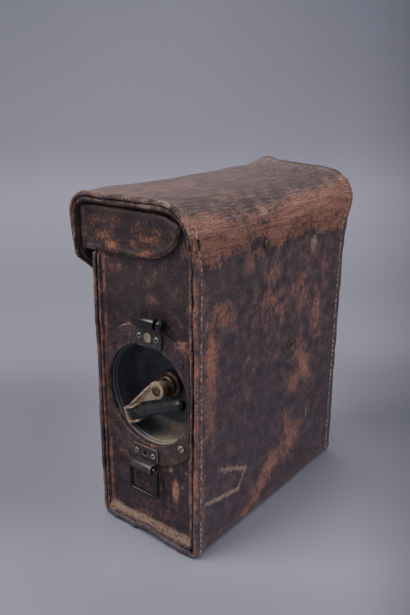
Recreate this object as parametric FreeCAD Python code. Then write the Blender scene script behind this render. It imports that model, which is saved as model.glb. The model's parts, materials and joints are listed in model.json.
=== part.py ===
# Field telephone in a leather carrying case, with a hand crank sunk in one narrow end.
# Millimetres. +Z is up and the origin is the centre of the case's base.
# +X is the crank end, +Y is the broad back and -Y is the front, where the flap hangs.
import math
import os

import FreeCAD
import Part

V = FreeCAD.Vector

# Leather case
case_length = 190.5
case_depth = 89.0
case_height = 241.0
wrap_leather = 3.2
sole_leather = 5.0
sole_radius = 5.0
panel_leather = 2.4
panel_inset = 4.2
panel_cove = 0.8
panel_foot_height = 7.0
panel_foot_depth = 2.6
panel_corner = 4.5
flange_step_back = 0.8
panel_edge_round = 1.0
panel_top_drop = 17.0
front_notch_drop = 41.0
seam_gap = 0.1
press_gap = 0.03
swing_gap = 0.5
cut_past = 1.0

# Lid
hinge_drop = 29.0
lid_leather = 3.2
lid_end_overhang = 2.75
lid_front_overhang = 18.0
lid_back_radius = 27.0
lid_front_radius = 16.0
flap_corner_drop = 42.0
flap_slope = 39.0
flap_low_drop = 85.0
flap_corner_radius = 14.0
cheek_leather = 2.6
cheek_cove = 2.0
cheek_low_drop = 38.5
cheek_tip_inset = 16.0
cheek_tip_drop = 17.5
cheek_tip_rise = 9.5
cheek_turn_radius = 24.0
cheek_top_lean = 4.0

# Closure on the front
snap_spacing = 72.0
snap_above_flap_edge = 10.0
snap_radius = 6.0
snap_dome = 2.4
snap_shank_radius = 1.8
snap_bore_radius = 1.2
snap_washer = 0.6
snap_socket_depth = 1.0

# Crank recess in the end
hub_height = 109.0
recess_side_margin = 2.5
bowl_wall = 1.2
bowl_depth = 22.0
bowl_play = 0.4
bowl_floor_step = 3.4
bowl_floor_round = 6.0
bowl_round_rise = 4.0
bowl_side_start = 11.0
bowl_flange = 3.1
ring_width = 14.1
ring_thickness = 1.2
ring_screw_inset = 6.1
ring_screw_radius = 2.6
ring_screw_head = 1.0
ring_rivet_radius = 1.5
ring_rivet_head = 0.6
ring_rivet_angle = 24.0

# Strap brackets
bracket_sheet = 1.6
bracket_width = 23.0
barrel_width = 18.0
bracket_row_share = 0.62
bracket_rivet_spacing = 15.0
bracket_hole_radius = 1.9
bracket_corner = 2.5
upper_bracket_y = 3.8
upper_barrel_above_ring = 3.5
upper_bracket_reach = 18.4
lower_bracket_y = -1.3
lower_barrel_below_ring = 2.0
lower_bracket_reach = 14.4
far_barrel_height = 150.0
loop_wire_radius = 1.7
loop_width = 28.0
loop_drop = 21.0
loop_corner = 3.0
loop_play = 0.3
bar_head_radius = 4.2
bar_overhang = 2.5
bar_head_length = 4.0
bar_head_edge = 0.6
rivet_radius = 2.1
rivet_head = 0.8
rivet_shank_radius = 1.2
rivet_bore_radius = 0.9
bracket_screw_radius = 3.4
bracket_screw_head = 1.3

# Screws in the broad back
back_screw_places = [(19.0, -35.0), (-17.5, -117.0)]
back_screw_radius = 3.5
back_screw_head = 0.9
back_screw_shank_radius = 1.7
back_screw_end = 2.0
slot_width = 0.9
slot_depth = 0.5

# Crank
shaft_radius = 4.0
running_play = 0.05
shaft_tail = 1.0
bush_radius = 9.5
bush_stand = 8.0
bush_wall = 2.5
bush_nose_edge = 1.0
bush_tail = 2.0
arm_thickness = 1.8
arm_stand = 15.6
arm_hub_radius = 5.2
arm_hub_length = 4.6
eye_radius = 6.4
crank_screw_radius = 3.6
crank_screw_head = 1.6
crank_screw_shank_radius = 1.7
crank_screw_thread = 7.0
arm_lip_start = 3.0
handle_angle = 24.0
handle_offset = 11.7
handle_stand = 21.6
yoke_wall = 1.5
yoke_inner_width = 8.8
yoke_depth = 9.0
yoke_length = 10.5
pivot_back = 24.0
pivot_to_yoke_wall = 4.5
pivot_pin_radius = 1.4
pivot_head_radius = 2.2
pivot_head = 0.8
knuckle_radius = 3.7
side_play = 0.3
ferrule_radius = 3.4
ferrule_length = 6.3
ferrule_rib = 0.4
ferrule_ribs = 2
spindle_radius = 2.0
grip_radius = 4.25
grip_length = 42.0
grip_edge = 0.7
grip_band = 2.5
grip_waist = 0.35
rivet_end_radius = 3.0
rivet_end_head = 1.0

# Hand generator
gear_module = 0.8
gear_teeth = 60
pinion_teeth = 15
gear_width = 5.0
gear_web = 2.0
gear_rim = 3.0
gear_hub_radius = 8.0
gear_holes = 5
gear_hole_radius = 4.2
pressure_angle = 20.0
tooth_backlash = 0.12
generator_plate = 2.0
generator_length = 40.0
generator_half_width = 32.0
generator_rise = 18.0
generator_behind_bowl = 3.0
armature_radius = 13.0
armature_length = 28.0
air_gap = 0.4
armature_shaft_radius = 2.5
armature_waist = 7.0
armature_end_gap = 2.5
winding_gap = 0.2
winding_overhang = 0.8
winding_round = 1.2
pole_thickness = 5.0
pole_gap = 9.0
pole_overhang = 0.5
magnet_thickness = 6.0
magnet_count = 3
magnet_width = 9.0
magnet_pitch = 9.6
magnet_corner = 9.0
spacer_radius = 2.5
spacer_step = 1.0
spacer_edge = 1.2
spacer_end = 1.5
plate_foot = 2.0
plate_foot_corner = 4.0
plate_seat_corner = 1.0
plate_top_corner = 10.0

# Ringer
gong_side_gap = 1.95
gong_height = 11.0
gong_wall = 1.0
gong_stand = 34.0
gong_post_radius = 2.0
gong_collar_radius = 3.4
gong_collar = 3.0
gong_nut = 2.0
gong_foot_radius = 4.0
gong_foot = 1.6
ringer_back_shift = 1.0
ringer_base_behind = 13.0
ringer_base_ahead = 14.0
ringer_base_width = 52.0
ringer_sheet = 2.0
ringer_yoke_ahead = 9.5
ringer_yoke_width = 30.0
ringer_yoke_height = 26.0
ringer_lug_width = 6.0
ringer_coil_height = 11.0
ringer_coil_radius = 7.5
ringer_coil_length = 13.0
ringer_coil_spacing = 22.0
ringer_coil_cheek = 1.2
ringer_core_radius = 2.5
ringer_core_end = 1.5
clapper_ball_radius = 3.0
clapper_gap = 0.75
clapper_reach = 15.0
clapper_spindle_radius = 1.0
clapper_rod_radius = 0.9
clapper_above_gong_rim = 3.0
clapper_bar_thickness = 2.4
clapper_bar_length = 32.0
clapper_bar_height = 8.0
clapper_boss_radius = 2.6
clapper_boss_length = 14.0
clapper_foot_gap = 0.4

# Chassis
chassis_sheet = 1.2
chassis_clearance = 0.3
chassis_behind_bowl = 0.75
chassis_beside_handset = 3.0
chassis_top_drop = 41.0
rail_gap = 0.2
shelf_margin = 8.0
shelf_front_gap = 1.0
top_panel_thickness = 3.0
top_panel_margin = 0.6
top_panel_corner = 3.0
cover_from_partition = 3.0
cover_play = 0.3
cover_lip = 1.0
cover_corner = 2.0
cover_pull_radius = 5.0
cover_pull_height = 4.0
cover_post_radius = 3.5
panel_screw_radius = 2.0
panel_screw_shank_radius = 1.5
panel_screw_length = 5.0
panel_screw_inset = 3.0
panel_screw_end_inset = 5.0
panel_screw_beside_cover = 6.8
panel_screw_head = 1.2
terminal_radius = 6.0
terminal_height = 9.0
terminal_collar = 1.5
terminal_step = 0.8
terminal_wire_slot = 2.8
terminal_wire_low = 2.4
terminal_wire_high = 6.0
terminal_spacing = 26.0
terminal_from_end = 1.5
button_radius = 4.0
button_stand = 13.8
button_edge = 1.0
button_lift = 0.4
button_travel = 3.0
button_play = 0.08
button_stem_radius = 2.8
button_stem_below = 2.0
button_hole_radius = 0.9
button_hole_height = 7.2
selector_radius = 5.0
selector_seat = 1.0
selector_proud = 0.2
selector_from_end = 27.5
selector_from_middle = 18.0
cell_wall_gap = 6.3
cell_length = 59.5
cell_edge = 1.0
cell_gap = 0.6
cell_side_room = 2.5
cell_window_room = 3.0
cell_top_room = 7.5
cell_spring_room = 3.0
cell_cap_radius = 4.8
cell_cap_height = 1.6
contact_sheet = 0.8
contact_width = 10.0
contact_overhang = 6.0
contact_bump_radius = 4.0
contact_bump_tip_radius = 1.5
contact_cap_width = 8.0
contact_cap_length = 14.0
coil_above_generator = 18.0
coil_beside_cells = 10.0
coil_end_gap = 0.3
coil_half = 13.0
coil_cheek = 2.5
coil_core_radius = 10.0
coil_iron_radius = 4.0
coil_iron_end = 1.5
capacitor_width = 24.0
capacitor_height = 38.0
capacitor_depth = 18.0
capacitor_corner = 2.0
capacitor_from_partition = 4.0
capacitor_below_shelf = 10.0
capacitor_lug_radius = 1.5
capacitor_lug_length = 5.0
capacitor_lug_spacing = 22.0

# Handset
handset_end_gap = 1.65
handset_headroom = 28.5
handset_back_gap = 1.0
cup_radius = 26.0
cup_depth = 18.0
cup_forward = 6.0
cup_end_gap = 0.5
cap_radius = 27.0
cap_depth = 11.0
cap_wall = 2.2
cap_dish = 2.5
cap_rim = 3.0
cap_thread_step = 1.5
cap_hollow_step = 6.0
cap_edge = 0.8
sound_hole_radius = 1.3
sound_hole_pitch = 5.5
transmitter_hole_rings = 3
receiver_hole_rings = 2
handle_width = 24.0
handle_depth = 17.0
handle_round = 6.0
talk_switch_length = 46.0
talk_switch_width = 12.0
talk_switch_seat = 0.5
talk_switch_proud = 3.0
talk_switch_round = 2.4
talk_switch_above_middle = 8.0
talk_slot_depth = 5.0
talk_switch_play = 0.4

# Places that follow from the sizes above
half_length = case_length / 2
half_depth = case_depth / 2
inner_y = half_depth - wrap_leather
panel_face = half_length - panel_inset
panel_back = panel_face - panel_leather
floor = sole_leather
lid_half = half_length + lid_end_overhang
panel_top = case_height - panel_top_drop
front_notch_height = case_height - front_notch_drop
hinge_height = case_height - hinge_drop
flap_corner_height = case_height - flap_corner_drop
flap_low_height = case_height - flap_low_drop
snap_height = flap_low_height + snap_above_flap_edge
cheek_low_height = case_height - cheek_low_drop
cheek_tip_height = case_height - cheek_tip_drop
cheek_tip_y = half_depth - cheek_tip_inset
cheek_turn_y = cheek_tip_y - cheek_tip_rise
cheek_back = panel_face + swing_gap
cheek_face = cheek_back + cheek_leather
flap_y = -half_depth - lid_front_overhang
recess_radius = inner_y - panel_leather - recess_side_margin
bowl_side_radius = recess_radius - bowl_play
bowl_floor_radius = recess_radius - bowl_floor_step
bowl_flange_radius = recess_radius + bowl_flange
bowl_floor = panel_back - bowl_wall - bowl_depth
ring_outer_radius = recess_radius + ring_width
ring_screw_circle = recess_radius + ring_screw_inset
ring_face = panel_face + ring_thickness
upper_barrel_height = hub_height + ring_outer_radius + upper_barrel_above_ring
lower_barrel_height = hub_height - ring_outer_radius - lower_barrel_below_ring
chassis_back = inner_y - chassis_clearance
chassis_floor = floor + chassis_clearance
chassis_top = case_height - chassis_top_drop
chassis_right = bowl_floor - bowl_wall - chassis_behind_bowl
handset_x = handset_end_gap + cap_radius - panel_back
handset_base = floor + chassis_clearance
handset_back = inner_y - handset_back_gap
handset_top = case_height - lid_leather - handset_headroom
chassis_left = handset_x + cap_radius + chassis_beside_handset
plate_seat = chassis_back - chassis_sheet - seam_gap
top_panel_low = chassis_top + seam_gap
top_panel_high = top_panel_low + top_panel_thickness
cell_radius = (chassis_back - chassis_sheet - cell_wall_gap - cell_gap / 2) / 2
cell_base_height = chassis_top - cell_length - cell_top_room
cell_x = chassis_left + chassis_sheet + cell_side_room + cell_radius
gong_y = (plate_seat - gong_side_gap + clapper_ball_radius + clapper_gap) / 2
gong_radius = gong_y - clapper_ball_radius - clapper_gap
hub = V(0, 0, hub_height)
X = V(1, 0, 0)
Y = V(0, 1, 0)
Z = V(0, 0, 1)


def box(x0, x1, y0, y1, z0, z1):
    return Part.makeBox(x1 - x0, y1 - y0, z1 - z0, V(x0, y0, z0))


def rod(radius, start, direction, length):
    return Part.makeCylinder(radius, length, start, direction)


def ring(outer, inner, start, direction, length):
    return rod(outer, start, direction, length).cut(rod(inner, start, direction, length))


def fused(pieces):
    return pieces[0].fuse(pieces[1:]).removeSplitter() if len(pieces) > 1 else pieces[0]


def outline(points, x):
    """Closed wire in the YZ plane. A point of three values has an arc of that radius at it."""
    edges = []
    count = len(points)
    joints = []
    for i, point in enumerate(points):
        here = V(x, point[0], point[1])
        before = V(x, points[i - 1][0], points[i - 1][1])
        after = V(x, points[(i + 1) % count][0], points[(i + 1) % count][1])
        if len(point) == 2 or point[2] <= 0:
            joints.append((here, here, None))
            continue
        back = (before - here).normalize()
        ahead = (after - here).normalize()
        half = back.getAngle(ahead) / 2
        reach = point[2] / math.tan(half)
        middle = (back + ahead).normalize()
        centre = here + middle * (point[2] / math.sin(half))
        joints.append((here + back * reach, here + ahead * reach, centre - middle * point[2]))
    for i, (start, end, on_arc) in enumerate(joints):
        if on_arc is not None:
            edges.append(Part.Arc(start, on_arc, end).toShape())
        following = joints[(i + 1) % count][0]
        if (following - end).Length > 1e-6:
            edges.append(Part.makeLine(end, following))
    return Part.Wire(edges)


def slab(points, x0, x1):
    return Part.Face(outline(points, x0)).extrude(V(x1 - x0, 0, 0))


def turned(profile, start, direction):
    """Solid of revolution: profile is a list of (radius, distance along the axis)."""
    points = [V(r, 0, h) for r, h in profile]
    solid = Part.Face(Part.makePolygon(points + points[:1])).revolve(V(0, 0, 0), Z, 360)
    place = FreeCAD.Placement(start, FreeCAD.Rotation(Z, direction))
    solid.Placement = place
    return solid


def slotted_head(radius, height, start, direction, slot_along):
    """Low domed screw head with a straight slot."""
    rim = 0.45 * height
    head = turned([(0, 0), (radius, 0), (radius, rim), (0.7 * radius, 0.85 * height), (0, height)],
                  start, direction)
    across = direction.cross(slot_along).normalize()
    corner = start + direction * (height - slot_depth)
    corner = corner - slot_along * (radius + cut_past) - across * (slot_width / 2)
    face = Part.Face(Part.makePolygon([
        corner, corner + slot_along * 2 * (radius + cut_past),
        corner + slot_along * 2 * (radius + cut_past) + across * slot_width,
        corner + across * slot_width, corner]))
    return head.cut(face.extrude(direction * (slot_depth + cut_past)))


def mirrored_x(shape):
    return shape.mirror(V(0, 0, 0), X)


def lid_points(inset, low):
    """Closed outline of the lid's end, its wall moved in by inset, cut off at height low."""
    return [(half_depth - inset, low), (half_depth - inset, case_height - inset, lid_back_radius - inset),
            (flap_y + inset, case_height - inset, lid_front_radius - inset), (flap_y + inset, low)]


# Leather case

def case_wrap():
    outer = slab([(-half_depth, panel_top), (-half_depth, 0, sole_radius), (half_depth, 0, sole_radius),
                  (half_depth, panel_top)], -half_length, half_length)
    hollow = box(-half_length, half_length, -inner_y, inner_y, floor, panel_top)
    wrap = outer.cut(hollow)
    wrap = wrap.cut(box(-half_length, half_length, 0, half_depth, hinge_height, panel_top))
    for x0 in (-half_length, panel_face):
        wrap = wrap.cut(box(x0, x0 + panel_inset, -half_depth, 0, front_notch_height, panel_top))
    for x, z in back_screw_spots():
        wrap = wrap.cut(rod(back_screw_shank_radius + seam_gap, V(x, 0, z), Y, half_depth))
    for x in (-snap_spacing / 2, snap_spacing / 2):
        wrap = wrap.cut(rod(snap_shank_radius + seam_gap, V(x, 0, snap_height), -Y, half_depth))
    return wrap


def end_panel(with_recess):
    """Leather tray with its flange turned outwards, sewn inside the wrap."""
    outer_y = inner_y - seam_gap
    low = floor + seam_gap
    edge = half_length - flange_step_back
    inside_y = outer_y - panel_leather
    roll = lid_back_radius - lid_leather - seam_gap
    blank = slab([(-outer_y, panel_top), (-outer_y, low, panel_edge_round),
                  (outer_y, low, panel_edge_round), (outer_y, panel_top, roll)], panel_back, edge)
    pocket = slab([(-inside_y, case_height), (-inside_y, low + panel_leather, panel_corner),
                   (inside_y, low + panel_leather, panel_corner), (inside_y, case_height)],
                  panel_face, edge + cut_past)
    tray = blank.cut(pocket)
    cove = [e for e in tray.Edges if in_plane_x(e, panel_face) and not above_only(e, inside_y)]
    tray = tray.makeFillet(panel_cove, cove)
    tray = tray.fuse(panel_foot(inside_y, low + panel_leather)).removeSplitter()
    tray = tray.cut(box(panel_face + 1e-3, half_length, -half_depth, 0, front_notch_height, case_height))
    tray = tray.cut(box(panel_face + 1e-3, half_length, 0, half_depth, hinge_height, case_height))
    if with_recess:
        tray = tray.cut(rod(recess_radius, V(0, 0, hub_height), X, half_length))
        for y, z in ring_fastener_places():
            tray = tray.cut(rod(rivet_shank_radius + seam_gap, V(0, y, z), X, half_length))
    for y, z in bracket_fastener_places(with_recess):
        tray = tray.cut(rod(rivet_shank_radius + seam_gap, V(0, y, z), X, half_length))
    return tray


def in_plane_x(edge, x):
    bounds = edge.BoundBox
    return abs(bounds.XMin - x) < 1e-3 and abs(bounds.XMax - x) < 1e-3


def above_only(edge, inside_y):
    """True for the edge along the panel's free top."""
    bounds = edge.BoundBox
    return bounds.ZMin > panel_top - panel_leather and bounds.YLength > panel_leather


def panel_foot(inside_y, low):
    """Thick hollow-faced welt along the foot of the panel, where its flange turns out."""
    half = inside_y - panel_corner
    sink = panel_cove / 2
    a = V(panel_face - sink, -half, low - sink)
    b = V(panel_face + panel_foot_depth, -half, low - sink)
    c = V(panel_face + panel_foot_depth, -half, low + sink)
    d = V(panel_face + panel_cove, -half, low + panel_foot_height)
    e = V(panel_face - sink, -half, low + panel_foot_height)
    mid = V(panel_face + panel_foot_depth * 0.42, -half, low + panel_foot_height * 0.42)
    lines = [Part.makeLine(a, b), Part.makeLine(b, c), Part.Arc(c, mid, d).toShape(),
             Part.makeLine(d, e), Part.makeLine(e, a)]
    return Part.Face(Part.Wire(lines)).extrude(V(0, 2 * half, 0))


def ring_fastener_places():
    reach = ring_screw_circle * math.sqrt(0.5)
    return [(a * reach, hub_height + b * reach) for a in (-1, 1) for b in (-1, 1)]


def ring_rivet_places():
    across = ring_screw_circle * math.sin(math.radians(ring_rivet_angle))
    up = ring_screw_circle * math.cos(math.radians(ring_rivet_angle))
    return [(a * across, hub_height + b * up) for a in (-1, 1) for b in (-1, 1)]


def recess_ring():
    plate = ring(ring_outer_radius, recess_radius, V(panel_face, 0, hub_height), X, ring_thickness)
    half = inner_y - 2 * seam_gap - panel_leather - panel_cove
    low = hub_height - ring_outer_radius
    plate = plate.common(box(0, half_length, -half, half, low, low + 2 * ring_outer_radius))
    for y, z in ring_fastener_places() + ring_rivet_places():
        plate = plate.cut(rod(rivet_shank_radius + seam_gap, V(0, y, z), X, half_length))
    for y, z in bracket_fastener_places(True):
        plate = plate.cut(rod(rivet_shank_radius + seam_gap, V(0, y, z), X, half_length))
    return plate


def ring_screws():
    heads = []
    for y, z in ring_fastener_places():
        head = slotted_head(ring_screw_radius, ring_screw_head, V(ring_face, y, z), X, V(0, 0.6, 0.8))
        shank = rod(rivet_shank_radius, V(panel_back - bowl_wall, y, z), X, ring_face - panel_back + bowl_wall)
        heads.append(fused([head, shank]))
    return Part.makeCompound(heads)


def ring_rivets():
    heads = []
    for y, z in ring_rivet_places():
        head = turned([(0, 0), (ring_rivet_radius, 0), (ring_rivet_radius * 0.7, ring_rivet_head * 0.8),
                       (0, ring_rivet_head)], V(ring_face, y, z), X)
        shank = rod(rivet_shank_radius, V(panel_face, y, z), X, ring_thickness)
        heads.append(fused([head, shank]))
    return Part.makeCompound(heads)


# Strap brackets and loops

def barrel_radius():
    return loop_wire_radius + loop_play + bracket_sheet


def brackets():
    """Base plane, middle, barrel height, plate reach and plate direction of each bracket."""
    return {"upper": (ring_face, upper_bracket_y, upper_barrel_height, upper_bracket_reach, -1),
            "lower": (ring_face, lower_bracket_y, lower_barrel_height, lower_bracket_reach, 1),
            "far": (panel_face, 0.0, far_barrel_height, lower_bracket_reach, 1)}


def bracket(which):
    """Riveted sheet plate whose end is rolled into a barrel for the strap loop."""
    base, centre_y, barrel_z, reach, way = brackets()[which]
    half = bracket_width / 2
    centre = V(base + barrel_radius(), centre_y - barrel_width / 2, barrel_z)
    bore_radius = loop_wire_radius + loop_play
    barrel = ring(barrel_radius(), bore_radius, centre, Y, barrel_width)
    z0, z1 = sorted((barrel_z + way * barrel_radius(), barrel_z + way * reach))
    plate = box(base, base + bracket_sheet, centre_y - half, centre_y + half, z0, z1)
    corners = [e for e in plate.Edges if e.BoundBox.XLength > bracket_sheet / 2]
    plate = plate.makeFillet(bracket_corner, corners)
    z0, z1 = sorted((barrel_z, barrel_z + way * reach * bracket_row_share))
    neck = box(base, base + bracket_sheet, centre.y, centre.y + barrel_width, z0, z1)
    neck = neck.cut(rod(bore_radius, centre, Y, barrel_width))
    piece = fused([barrel, plate, neck])
    for y, z in bracket_holes(which):
        piece = piece.cut(rod(rivet_shank_radius + seam_gap, V(0, y, z), X, case_length))
    return piece.cut(rod(bracket_hole_radius, V(0, centre_y, bracket_row(which)), X, case_length))


def bracket_row(which):
    base, centre_y, barrel_z, reach, way = brackets()[which]
    return barrel_z + way * reach * bracket_row_share


def bracket_holes(which):
    middle = brackets()[which][1]
    return [(middle + side * bracket_rivet_spacing / 2, bracket_row(which)) for side in (-1, 1)]


def bracket_fastener_places(crank_end):
    if not crank_end:
        return bracket_holes("far")
    return bracket_holes("upper") + bracket_holes("lower") + [(upper_bracket_y, bracket_row("upper"))]


def bracket_rivets():
    """Tubular rivets, two in each bracket, with a washer behind the leather."""
    rivets = []
    for which, end in (("upper", 1), ("lower", 1), ("far", -1)):
        face = brackets()[which][0] + bracket_sheet
        for y, z in bracket_holes(which):
            bore = rivet_bore_radius
            crown = (rivet_radius + bore) / 2
            inside = V(end * panel_back, y, z)
            head = turned([(bore, 0), (rivet_radius, 0), (rivet_radius, rivet_head / 2),
                           (crown, rivet_head), (bore, rivet_head)], V(end * face, y, z), X * end)
            shank = ring(rivet_shank_radius, bore, inside, X * end, face - panel_back)
            washer = ring(rivet_radius, bore, inside, X * -end, rivet_head / 2)
            rivets.append(fused([head, shank, washer]))
    return Part.makeCompound(rivets)


def bracket_screw():
    start = V(ring_face + bracket_sheet, upper_bracket_y, bracket_row("upper"))
    head = slotted_head(bracket_screw_radius, bracket_screw_head, start, X, V(0, 0.35, 0.94))
    shank = rod(rivet_shank_radius, V(panel_back, start.y, start.z), X, start.x - panel_back)
    return fused([head, shank])


def upper_bracket_bar():
    """Rod through the upper barrel, with a round head at one end."""
    length = barrel_width + 2 * bar_overhang
    start = V(ring_face + barrel_radius(), upper_bracket_y - length / 2, upper_barrel_height)
    bar = rod(loop_wire_radius, start, Y, length)
    r = bar_head_radius
    n = bar_head_length
    edge = bar_head_edge
    head = turned([(0, 0), (r - edge, 0), (r, edge), (r, n - 2 * edge), (r - 2 * edge, n), (0, n)],
                  start + Y * length, Y)
    return fused([bar, head])


def strap_loop(which, end):
    """Rectangular wire loop, one side of which lies in the bracket's barrel."""
    base, centre_y, barrel_z, reach, way = brackets()[which]
    r = loop_wire_radius
    x = end * (base + barrel_radius())
    half = loop_width / 2 - r
    low = barrel_z - loop_drop
    c = loop_corner
    bars = [rod(r, V(x, centre_y - half + c, barrel_z), Y, 2 * (half - c)),
            rod(r, V(x, centre_y - half + c, low), Y, 2 * (half - c)),
            rod(r, V(x, centre_y - half, low + c), Z, loop_drop - 2 * c),
            rod(r, V(x, centre_y + half, low + c), Z, loop_drop - 2 * c)]
    quarters = [(1, barrel_z - c, 0), (-1, barrel_z - c, 90), (-1, low + c, 180), (1, low + c, 270)]
    for side, z, start in quarters:
        centre = V(x, centre_y + side * (half - c), z)
        disc = Part.Face(Part.Wire(Part.makeCircle(r, centre + Y * c, Z)))
        disc.rotate(centre, X, start)
        bars.append(disc.revolve(centre, X, 90))
    return fused(bars)


# Lid

def lid_shell():
    shell = slab(lid_points(0, flap_low_height), -lid_half, lid_half)
    past = lid_half + cut_past
    low = flap_low_height - cut_past
    shell = shell.cut(slab(lid_points(lid_leather, low), -past, past))
    shell = shell.cut(box(-lid_half, lid_half, 0, half_depth + cut_past, low, hinge_height))
    shell = shell.cut(flap_trim())
    corners = [e for e in shell.Edges if abs(e.BoundBox.YLength - lid_leather) < 1e-3
               and e.BoundBox.ZLength < 1e-3 and e.BoundBox.ZMin < flap_low_height + 1e-3]
    shell = shell.makeFillet(flap_corner_radius, corners)
    for x in (-snap_spacing / 2, snap_spacing / 2):
        shell = shell.cut(rod(snap_shank_radius + seam_gap, V(x, 0, snap_height), -Y, case_depth))
    return shell


def flap_trim():
    """What is cut from the flap's two lower corners to leave its tapered tongue."""
    drop = flap_corner_height - flap_low_height
    low_half = lid_half - drop / math.tan(math.radians(flap_slope))
    trims = []
    for side in (-1, 1):
        past = side * (lid_half + cut_past)
        points = [V(past, 0, flap_corner_height), V(side * lid_half, 0, flap_corner_height),
                  V(side * low_half, 0, flap_low_height), V(side * low_half, 0, flap_low_height - cut_past),
                  V(past, 0, flap_low_height - cut_past)]
        face = Part.Face(Part.makePolygon(points + points[:1]))
        trims.append(face.extrude(V(0, -case_depth, 0)))
    return trims[0].fuse(trims[1])


def lid_cheek():
    """End gusset of the lid, with its flange turned outwards along the lid's wall."""
    inset = lid_leather + seam_gap
    front = flap_y + inset
    edge = [(front, cheek_low_height), (cheek_turn_y, cheek_low_height, cheek_turn_radius),
            (cheek_tip_y, cheek_tip_height), (cheek_tip_y + cheek_top_lean, case_height),
            (front, case_height)]
    region = slab(edge, cheek_back, lid_half)
    body = slab(lid_points(inset, flap_low_height), cheek_back, lid_half - flange_step_back)
    blank = region.common(body)
    inside = slab(lid_points(inset + cheek_leather, flap_low_height), cheek_face, lid_half)
    cheek = blank.cut(inside)
    cove = [e for e in cheek.Edges if abs(e.BoundBox.XMin - cheek_face) < 1e-3
            and abs(e.BoundBox.XMax - cheek_face) < 1e-3 and on_cheek_flange(e)]
    return cheek.makeFillet(cheek_cove, cove)


def on_cheek_flange(edge):
    """True for the edges where the cheek turns up into its flange."""
    inset = lid_leather + seam_gap + cheek_leather
    bounds = edge.BoundBox
    on_front = abs(bounds.YMin - (flap_y + inset)) < 1e-3 and bounds.ZLength > inset
    on_top = abs(bounds.ZMax - (case_height - inset)) < 1e-3
    return on_front or on_top


def snap_fastener(y, direction, dome, hollow):
    """Pair of round press fasteners, turned, with a shank through the leather."""
    pieces = []
    for x in (-snap_spacing / 2, snap_spacing / 2):
        start = V(x, y, snap_height)
        r = snap_radius
        profile = [(0, 0), (r, 0), (r, dome * 0.35), (r * 0.8, dome * 0.8), (r * 0.4, dome), (0, dome)]
        head = turned(profile, start, direction)
        shank = rod(snap_shank_radius, start - direction * wrap_leather, direction, wrap_leather)
        inside = start - direction * (wrap_leather + snap_washer)
        washer = rod(r * 0.6, inside, direction, snap_washer)
        piece = fused([head, shank, washer])
        if hollow:
            piece = piece.cut(rod(snap_bore_radius, inside, direction, snap_washer + snap_socket_depth))
        pieces.append(piece)
    return Part.makeCompound(pieces)


# Crank, bowl and bush

def crank_bowl():
    """Pressed cup behind the end panel, with a flange against the leather."""
    x0 = bowl_floor
    x1 = panel_back - bowl_wall
    x2 = panel_back
    r0 = bowl_floor_radius
    r1 = bowl_side_radius
    bore = shaft_radius + bush_wall
    turn = r0 - bowl_floor_round
    profile = [(bore, x0), (turn, x0), (r0, x0 + bowl_round_rise), (r1, x0 + bowl_side_start), (r1, x2),
               (bowl_flange_radius, x2), (bowl_flange_radius, x1), (r1 + bowl_wall, x1),
               (r1 + bowl_wall, x0 + bowl_side_start - bowl_wall / 2),
               (r0 + bowl_wall, x0 + bowl_round_rise - bowl_wall / 2),
               (turn + bowl_wall / 2, x0 - bowl_wall), (bore, x0 - bowl_wall)]
    cup = turned(profile, hub, X)
    ears = [rod(ring_screw_radius * 2, V(x1, y, z), X, bowl_wall) for y, z in ring_fastener_places()]
    cup = cup.fuse(ears).removeSplitter()
    for y, z in ring_fastener_places():
        cup = cup.cut(rod(rivet_shank_radius + seam_gap, V(0, y, z), X, half_length))
    return cup


def crank_bush():
    """Flanged bearing bush seated in the bowl's floor."""
    r = shaft_radius + running_play
    seat = shaft_radius + bush_wall - seam_gap
    nose = shaft_radius + bush_wall
    edge = bush_nose_edge
    tail = bowl_floor - bowl_wall - bush_tail
    base = bowl_floor + seam_gap
    middle = bowl_floor + bush_stand / 2
    front = bowl_floor + bush_stand
    profile = [(r, tail), (seat, tail), (seat, base), (bush_radius, base), (bush_radius, middle),
               (nose + edge, middle + edge / 2), (nose + edge, front - edge), (nose, front), (r, front)]
    return turned(profile, hub, X)


def arm_face():
    return bowl_floor + arm_stand + arm_thickness


def shaft_end():
    return bowl_floor + arm_stand - arm_hub_length + seam_gap


def gear_place():
    return bowl_floor - bowl_wall - generator_behind_bowl - generator_plate - side_play - gear_width


def generator_front():
    return bowl_floor - bowl_wall - generator_behind_bowl


def generator_back():
    return generator_front() - generator_length


def crank_shaft():
    start = generator_back() - generator_plate - shaft_tail
    length = shaft_end() + arm_hub_length - 2 * seam_gap - start
    shaft = rod(shaft_radius, V(start, 0, hub_height), X, length)
    bore_start = shaft_end() - crank_screw_thread - cut_past
    bore = rod(crank_screw_shank_radius + seam_gap, V(bore_start, 0, hub_height), X, half_length)
    return shaft.cut(bore)


def handle_frame():
    """Directions and points of the folded handle: along it, along its pivot, and the pivot."""
    a = math.radians(handle_angle)
    along = V(0, math.cos(a), math.sin(a))
    pivot_way = V(0, math.sin(a), -math.cos(a))
    foot = hub + pivot_way * handle_offset
    pivot = foot - along * pivot_back + V(bowl_floor + handle_stand, 0, 0)
    return along, pivot_way, pivot


def oriented_box(origin, u, v, w, lu, lv, lw):
    """Box whose corner is origin, with edges of the given lengths along u, v and w."""
    face = Part.Face(Part.makePolygon([origin, origin + u * lu, origin + u * lu + v * lv,
                                       origin + v * lv, origin]))
    return face.extrude(w * lw)


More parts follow.
